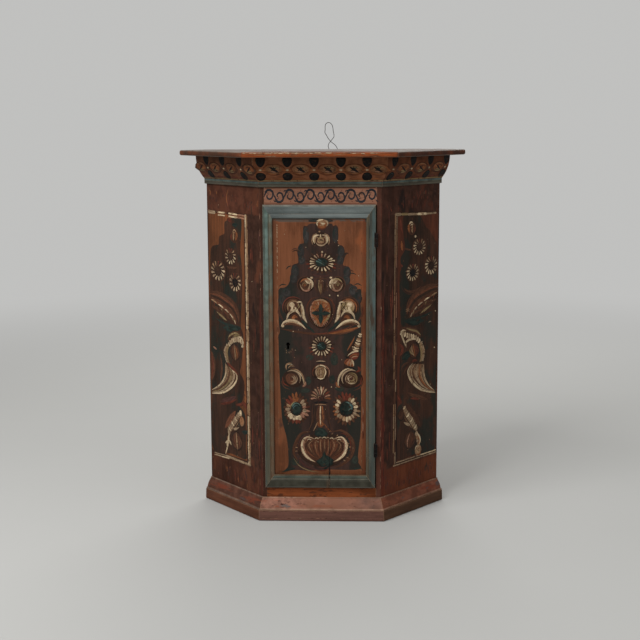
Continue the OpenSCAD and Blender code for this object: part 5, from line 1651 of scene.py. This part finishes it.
def right_grounds(p):
    """Red panel, its dark silhouette, and the dull worn lines round it."""
    p.ground([(74, 146), (252, 148), (252, 826), (72, 826)], "panel_red", 0.5)
    p.ground(smooth_line(RIGHT_DARK, closed=True), "panel_dark", 1)
    worn_line(p, (64, 832), (61, 140), 9, ("brown",), 2.2, fresh=1.0)
    worn_line(p, (60.5, 832), (57, 140), 4.0, ("tan", "bone", "tan"), 3.4, fresh=0.80)
    worn_line(p, (67.5, 826), (64.5, 142), 3.6, ("tan", "bone", "blush"), 3.4, fresh=0.75)
    worn_line(p, (58, 832), (114, 830), 9, ("gold", "bone"))
    worn_line(p, (114, 829), (198, 826), 8, ("blush", "cream", "bone"))
    worn_line(p, (198, 826), (242, 826), 6, ("gold", "bone"))
    worn_line(p, (69, 145), (252, 145), 4, ("cream", "bone"))
    worn_line(p, (56, 138), (252, 139), 4, ("bone",))


def right_spray(p):
    """Bud, three daisies over a dark arch, and the broad leaf."""
    p.leaf([(83, 820), (85, 801), (93, 779)], 10, "red", 2)
    p.leaf([(88, 760), (90, 743), (92, 732)], 12, "orange", 2)
    p.leaf([(100, 737), (115, 734), (131, 731)], 7, "brown", 2)
    p.leaf([(80, 697), (86, 693), (94, 689)], 9, "red", 2.4)
    side_bud(p, *BUD_AT["right"], "cream")
    p.oval(17, -23, 4.5, 4, "cream", 5)
    for daisy in DAISIES["right"]:
        side_flower(p, *daisy)
    p.at(0, 0)
    p.arcs(138, 640, 42, 24, 200, 330, 9, "brown", 2, "leaf")
    p.arcs(138, 646, 52, 36, 190, 320, 7, "umber", 2, "leaf")
    side_leaf(p, *LEAF_AT["right"])
    p.at(0, 0)
    for v in (569, 564):
        p.leaf([(108, v), (118, v + 1), (126, v - 2)], 2.6, "tan", 5)


def right_scroll(p):
    """Crested head with a pod under it, which ends in the horn."""
    p.oval(243, 550, 2.5, 2.5, "cream", 4)
    p.leaf([(211, 520), (218, 523), (225, 521)], 3, "bone", 4)
    p.oval(240, 446, 3, 2.6, "cream", 4)
    crested_head(p, [(86, 508), (106, 500), (130, 492), (152, 486), (172, 472)],
                 [(174, 470), (186, 440), (178, 414)])
    p.leaf([(85, 508), (96, 513), (110, 510)], 6, "cream", 5)
    p.leaf([(85, 510), (94, 494), (112, 464)], 7, "cream", 5)
    p.leaf([(112, 462), (111, 478), (132, 484), (159, 480)], 8, "cream", 5)
    pod(p, *PODS_AT["right"][0], 46, -6, ("gold", "tan", "orange", "red", "red"))
    p.at(0, 0)
    p.leaf([(92, 434), (115, 441), (134, 443)], 28, "green", 2)
    p.leaf([(83, 477), (95, 460), (83, 443)], 15, "red", 2)
    p.leaf([(136, 418), (149, 422), (162, 418)], 9, "red")
    for u, v in ((87, 399), (99, 387)):
        p.leaf([(u, v), (u + 11, v + 16), (u + 36, v + 22)], 8, "brown", 2)
    horn(p, [(141, 415), (121, 400), (124, 380), (143, 358), (185, 332), (248, 313)],
         [(191, 407), (192, 388), (196, 368), (205, 352), (218, 338), (244, 319)],
         ("bone", "orange", "bone", "brown", "bone"))


def right_tail(p):
    """Dark bands under the horn, and the tail scroll with its pod."""
    p.leaf([(117, 336), (147, 322), (212, 300)], 15, "brown", 2)
    p.leaf([(132, 316), (150, 314), (171, 307)], 10, "red", 2)
    p.leaf([(73, 335), (82, 323), (89, 310)], 13, "red", 2)
    tail_scroll(p, [(100, 294), (118, 268), (138, 246), (158, 220)],
                [(160, 214), (172, 200), (176, 186), (170, 174)], "brown")
    p.leaf([(98, 300), (110, 290), (122, 276)], 5, "tan", 4)
    p.leaf([(167, 202), (176, 187), (168, 176)], 9, "orange", 4)
    p.oval(169, 162, 16, 16, "tan", 4)
    p.leaf([(154, 164), (160, 173), (174, 173)], 6, "cream", 5)
    p.leaf([(163, 152), (173, 147), (183, 157)], 7, "orange", 4.6)
    p.leaf([(163, 165), (169, 159), (177, 157)], 6, "gold", 4.6)
    pod(p, *PODS_AT["right"][1], 54, 5, ("brown", "blush", "brown", "rust", "brown"))


def paint_right_side():
    """The same ornament on the right side panel, drawn a little higher."""
    p = Painting("side_painting_right", side_spot("right"), 31)
    right_grounds(p)
    right_spray(p)
    right_scroll(p)
    right_tail(p)
    side_wear(p, "red", (0.04, 0.10))
    p.finish("carcass", "dark_red_paint")


# Rubbed lengths of the front corners: from, to, paint and how many marks
WORN_CORNER = {"orange": ((640, 850, "blush", 12), (90, 640, "brown", 14)),
               "red": ((200, 420, "red", 22), (530, 640, "red", 20), (550, 592, "cream", 5),
                       (800, 872, "red", 8), (90, 620, "blush", 14))}


def side_wear(p, bright, share):
    """Streaks in the ground above and below the panel, rubbed front corner, and chips.
    share gives how many of the streaks above and below are bright."""
    p.at(0, 0)
    p.leaf([(150, 846), (158, 870), (150, 896)], 4, bright, 0.7)
    p.leaf([(158, 866), (170, 884), (176, 898)], 2.6, "red", 0.7)
    for low, high, length, bright_share in ((838, 900, 16, share[0]), (66, 128, 22, share[1])):
        for i in range(46):
            u, v = p.chance.uniform(10, 246), p.chance.uniform(low, high - length)
            paint = bright if p.chance.random() < bright_share else p.chance.choice(("red", "plum", "umber"))
            p.chip(u, v, (-1.5, 1.5), (0.4 * length, length), (2, 6), paint, 0.6)
    if bright == "red":
        for i in range(34):
            u, v = p.chance.uniform(3, 15), p.chance.uniform(110, 640)
            p.chip(u, v, (-1, 1), (-16, -50), (2.5, 5), "red", 0.8)
    for i in range(34):
        u, v = p.chance.uniform(6, 52), p.chance.uniform(120, 860)
        p.leaf([(u, v), (u + p.chance.uniform(-1, 1), v - p.chance.uniform(20, 70))],
               p.chance.uniform(3, 7), p.chance.choice(("plum", "red", "umber")), 0.6)
    for low, high, paint, count in WORN_CORNER[bright]:
        for i in range(count):
            v = p.chance.uniform(low, high)
            p.chip(1.8, v, (-0.4, 1.0), (-5, -22), (1.2, 3.0), paint, 1.5)
    for i in range(30):
        u, v = p.chance.uniform(3, 250), p.chance.uniform(70, 890)
        size = p.chance.uniform(0.5, 1.3)
        p.oval(u, v, size, size * p.chance.uniform(0.7, 1.4), p.chance.choice(("tan", "cream", "tan")), 7)


# Cove of the cornice in millimetres: its heights, how far its top stands out, and its radius
COVE_TOP = 988.0
COVE_BOTTOM = 923.0
COVE_REACH = 36.5
COVE_RADIUS = 88.37


def cove_reach(z):
    """How far the cornice stands out at a height, and how steeply it leans there."""
    drop = COVE_TOP - min(COVE_TOP, max(COVE_BOTTOM, z))
    rise = math.sqrt(COVE_RADIUS ** 2 - drop ** 2)
    return COVE_REACH - COVE_RADIUS + rise, drop / rise


def cornice_spot(side):
    """Maps (along, up, out) on the curved face of a cornice length to the frame."""
    flat = front_spot(FRONT_Y) if side == "front" else side_spot(side)

    def spot(u, z, out):
        reach, lean = cove_reach(z)
        size = math.hypot(1, lean)
        return flat(u, z - out * lean / size, reach + out / size)
    return spot


# Ornament of the three cornice lengths: from and to, the middles of the lenses, and those of the drops
CORNICE_RUN = {"front": (-166, 166), "left": (-2, 252), "right": (-2, 252)}
CORNICE_LENSES = {"front": (-120, -50, 22, 89, 152), "left": (7, 90, 167, 236), "right": (57, 132, 209)}
CORNICE_DROPS = {"front": (-155, -85, -15, 55, 123), "left": (44, 125, 203), "right": (14, 92, 168, 240)}


def lens(p, u, lit):
    """Almond shape with a dark fly-like cross in it. lit lenses have the bright paints."""
    p.at(u, 955)
    p.leaf([(-33, -2), (0, -2), (33, -2)], 24, "orange" if lit else "brown", 1.3)
    p.oval(0, 0, 28.5, 15.5, "orange" if lit else "rust", 1.6)
    p.oval(0, 1, 25, 12, "amber" if lit else "orange", 2.0)
    p.arcs(2, 1, 12, 5, 150, 20, 4, "gold" if lit else "rust", 2.8, "leaf")
    p.arcs(2, -2, 12, 4, 200, 340, 4, "blush" if lit else "gold", 2.8, "leaf")
    p.arcs(0, 1, 21, 10.5, 165, 15, 3.4, "amber", 3.2, "leaf")
    p.arcs(1, 0, 19, 10, 210, 335, 3, "amber" if lit else "gold", 3.2, "leaf")
    p.leaf([(-33, -4), (0, -8), (33, -4)], 1.7, "brown", 3.6)
    p.leaf([(-12, 7), (0, 0), (13, -8)], 8 if lit else 5.5, "black", 4)
    if lit:
        p.leaf([(-9, -4), (0, 1), (8, 7)], 3.6, "green", 4)
        p.leaf([(-3, 9), (1, 3), (3, -3)], 3.2, "black", 4)


def paint_cornice(side):
    """A row of lenses with a dark drop above and a dark ball below each gap."""
    p = Painting("cornice_painting_" + side, cornice_spot(side), 41 + len(side))
    start, end = CORNICE_RUN[side]
    p.stroke([(start, 925.5), ((start + end) / 2, 925), (end, 925.5)], 3.0, "gold", 1.5)
    for i in range(7):
        a = start + (end - start) * i / 7
        p.leaf([(a + 4, 930), (a + 24, 931), (a + 40, 929)], 4, "orange" if side == "front" else "red", 1)
    for u in CORNICE_LENSES[side]:
        lens(p, u, side == "front")
    for u in CORNICE_DROPS[side]:
        p.at(u, 955)
        p.shape([(-12, 30), (0, 31.5), (12, 30), (12, 19), (7, 10), (0, 6), (-7, 10), (-12, 19)], "black", 3)
        p.oval(0, -19, 13.5, 11.5, "black", 3)
        p.leaf([(-8, 14), (-11, 21), (-8, 28)], 3, "green", 4)
        p.leaf([(-8, -14), (0, -11), (8, -14)], 2.6, "green", 4)
        p.oval(0, -1, 4.4, 2.6, "cream", 4)
    p.finish("carcass", "cornice_paint")


# Scroll of the frieze in millimetres: its middle height, and the length of one wave
FRIEZE_MIDDLE = 885.0
WAVE = 27.0


def frieze_wave(p, u, side):
    """One wave of the scroll: an arch with a curl in it and small leaves. side is 1 upwards, -1 downwards."""
    def points(*places):
        return [(u + across, FRIEZE_MIDDLE + side * up) for across, up in places]

    p.leaf(points((-13.5, -4), (-8, 12), (0, 16), (8.5, 11), (13.5, -4)), 6.4, "blue_black")
    p.leaf(points((8, 9), (8.5, -2), (2, -8.5), (-5, -5), (-5.5, 2), (-0.5, 4)), 5.0, "blue_black")
    p.stroke(points((-9, 10), (-3, 7), (1, 9.5)), 3.2, "blue_black", 3, "comma")
    p.leaf(points((11, -10), (15, -14.5), (19, -14)), 3.6, "blue_black")
    p.leaf(points((1, -13), (4, -16.5)), 2.0, "red", 2)


def paint_frieze():
    """A running scroll, dark on the tan frieze, between two thin red lines."""
    p = Painting("frieze_painting", front_spot(FRONT_Y), 53)
    for u in (-136, -82, -28, 34, 84):
        p.leaf([(u, FRIEZE_MIDDLE + 3), (u + 26, FRIEZE_MIDDLE + 5), (u + 52, FRIEZE_MIDDLE + 2)], 12,
               "blush", 0.6)
    for i in range(11):
        frieze_wave(p, -135 + WAVE * i, -1 if i % 2 else 1)
    for level in (FRIEZE_MIDDLE + 21.3, FRIEZE_MIDDLE - 21.3):
        p.stroke([(-146, level), (0, level + 0.5), (146, level)], 1.8, "red", 1)
    p.leaf([(-152.5, 864), (-152, 884), (-152.5, 906)], 2.2, "umber", 1)
    p.finish("carcass", "tan_paint")


def paint_top_edge():
    """Cream chips along the upper arris of the top board's front edge, which are worn paint and partly a
    painted highlight there, and warm streaks on the edge.
    """
    p = Painting("top_edge_wear_and_highlight", front_spot(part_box("top_board")[0].y), 61)
    chance = p.chance
    # Cream chips on the upper arris: worn paint, and partly a painted highlight
    for i in range(80):
        u, paint = chance.triangular(-200, 200, -120), chance.choice(("cream", "blush", "cream"))
        v = 1000.4 - abs(chance.gauss(0, 1.1))
        p.chip(u, v, (4, 12), (-0.3, 0.3), (1, 2.6), paint, 1)
    for i in range(60):
        u, v = chance.uniform(-195, 180), chance.uniform(990, 999)
        paint = chance.choice(("orange", "orange", "brown", "tan"))
        p.chip(u, v, (8, 34), (-0.6, 0.6), (0.8, 2), paint, 0.8)
    p.finish("carcass", "top_board_paint")


def paint_top_rim():
    """Long streaks of old orange paint on the top board, thickest along its front edge."""
    low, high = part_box("top_board")
    p = Painting("top_rim_wear", lambda u, v, out: Vector((u * MM, low.y + v * MM, high.z + out * MM)), 71)
    chance = p.chance
    for i in range(260):
        u, v = chance.uniform(-198, 120), chance.triangular(1, 120, 3)
        paint = chance.choice(("orange", "rust", "rust", "red"))
        middle = (u + chance.uniform(20, 38), v + chance.uniform(-0.8, 0.8))
        end = (middle[0] + chance.uniform(20, 38), v)
        p.leaf([(u, v), middle, end], chance.uniform(1.6, 5.2), paint, 1)
    p.finish("carcass", "top_board_paint")


def paint_base_edge():
    """Rubbed flecks along the bead and the foot of the front base moulding."""
    p = Painting("base_wear", front_spot(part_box("base_moulding_front")[0].y), 67)
    chance = p.chance
    for i in range(46):
        u, v = chance.uniform(-165, 160), chance.choice((27.2, 27.6, 8.2, 7.4))
        paint = chance.choice(("blush", "bone", "brown"))
        p.chip(u, v, (2, 12), (-0.3, 0.3), (0.7, 1.6), paint, 1)
    p.finish("carcass", "purple_brown_paint")


set_camera()
set_stage()
dress_nodes()
paint_door()
paint_left_side()
paint_right_side()
for side in ("front", "left", "right"):
    paint_cornice(side)
paint_frieze()
paint_top_edge()
paint_top_rim()
paint_base_edge()
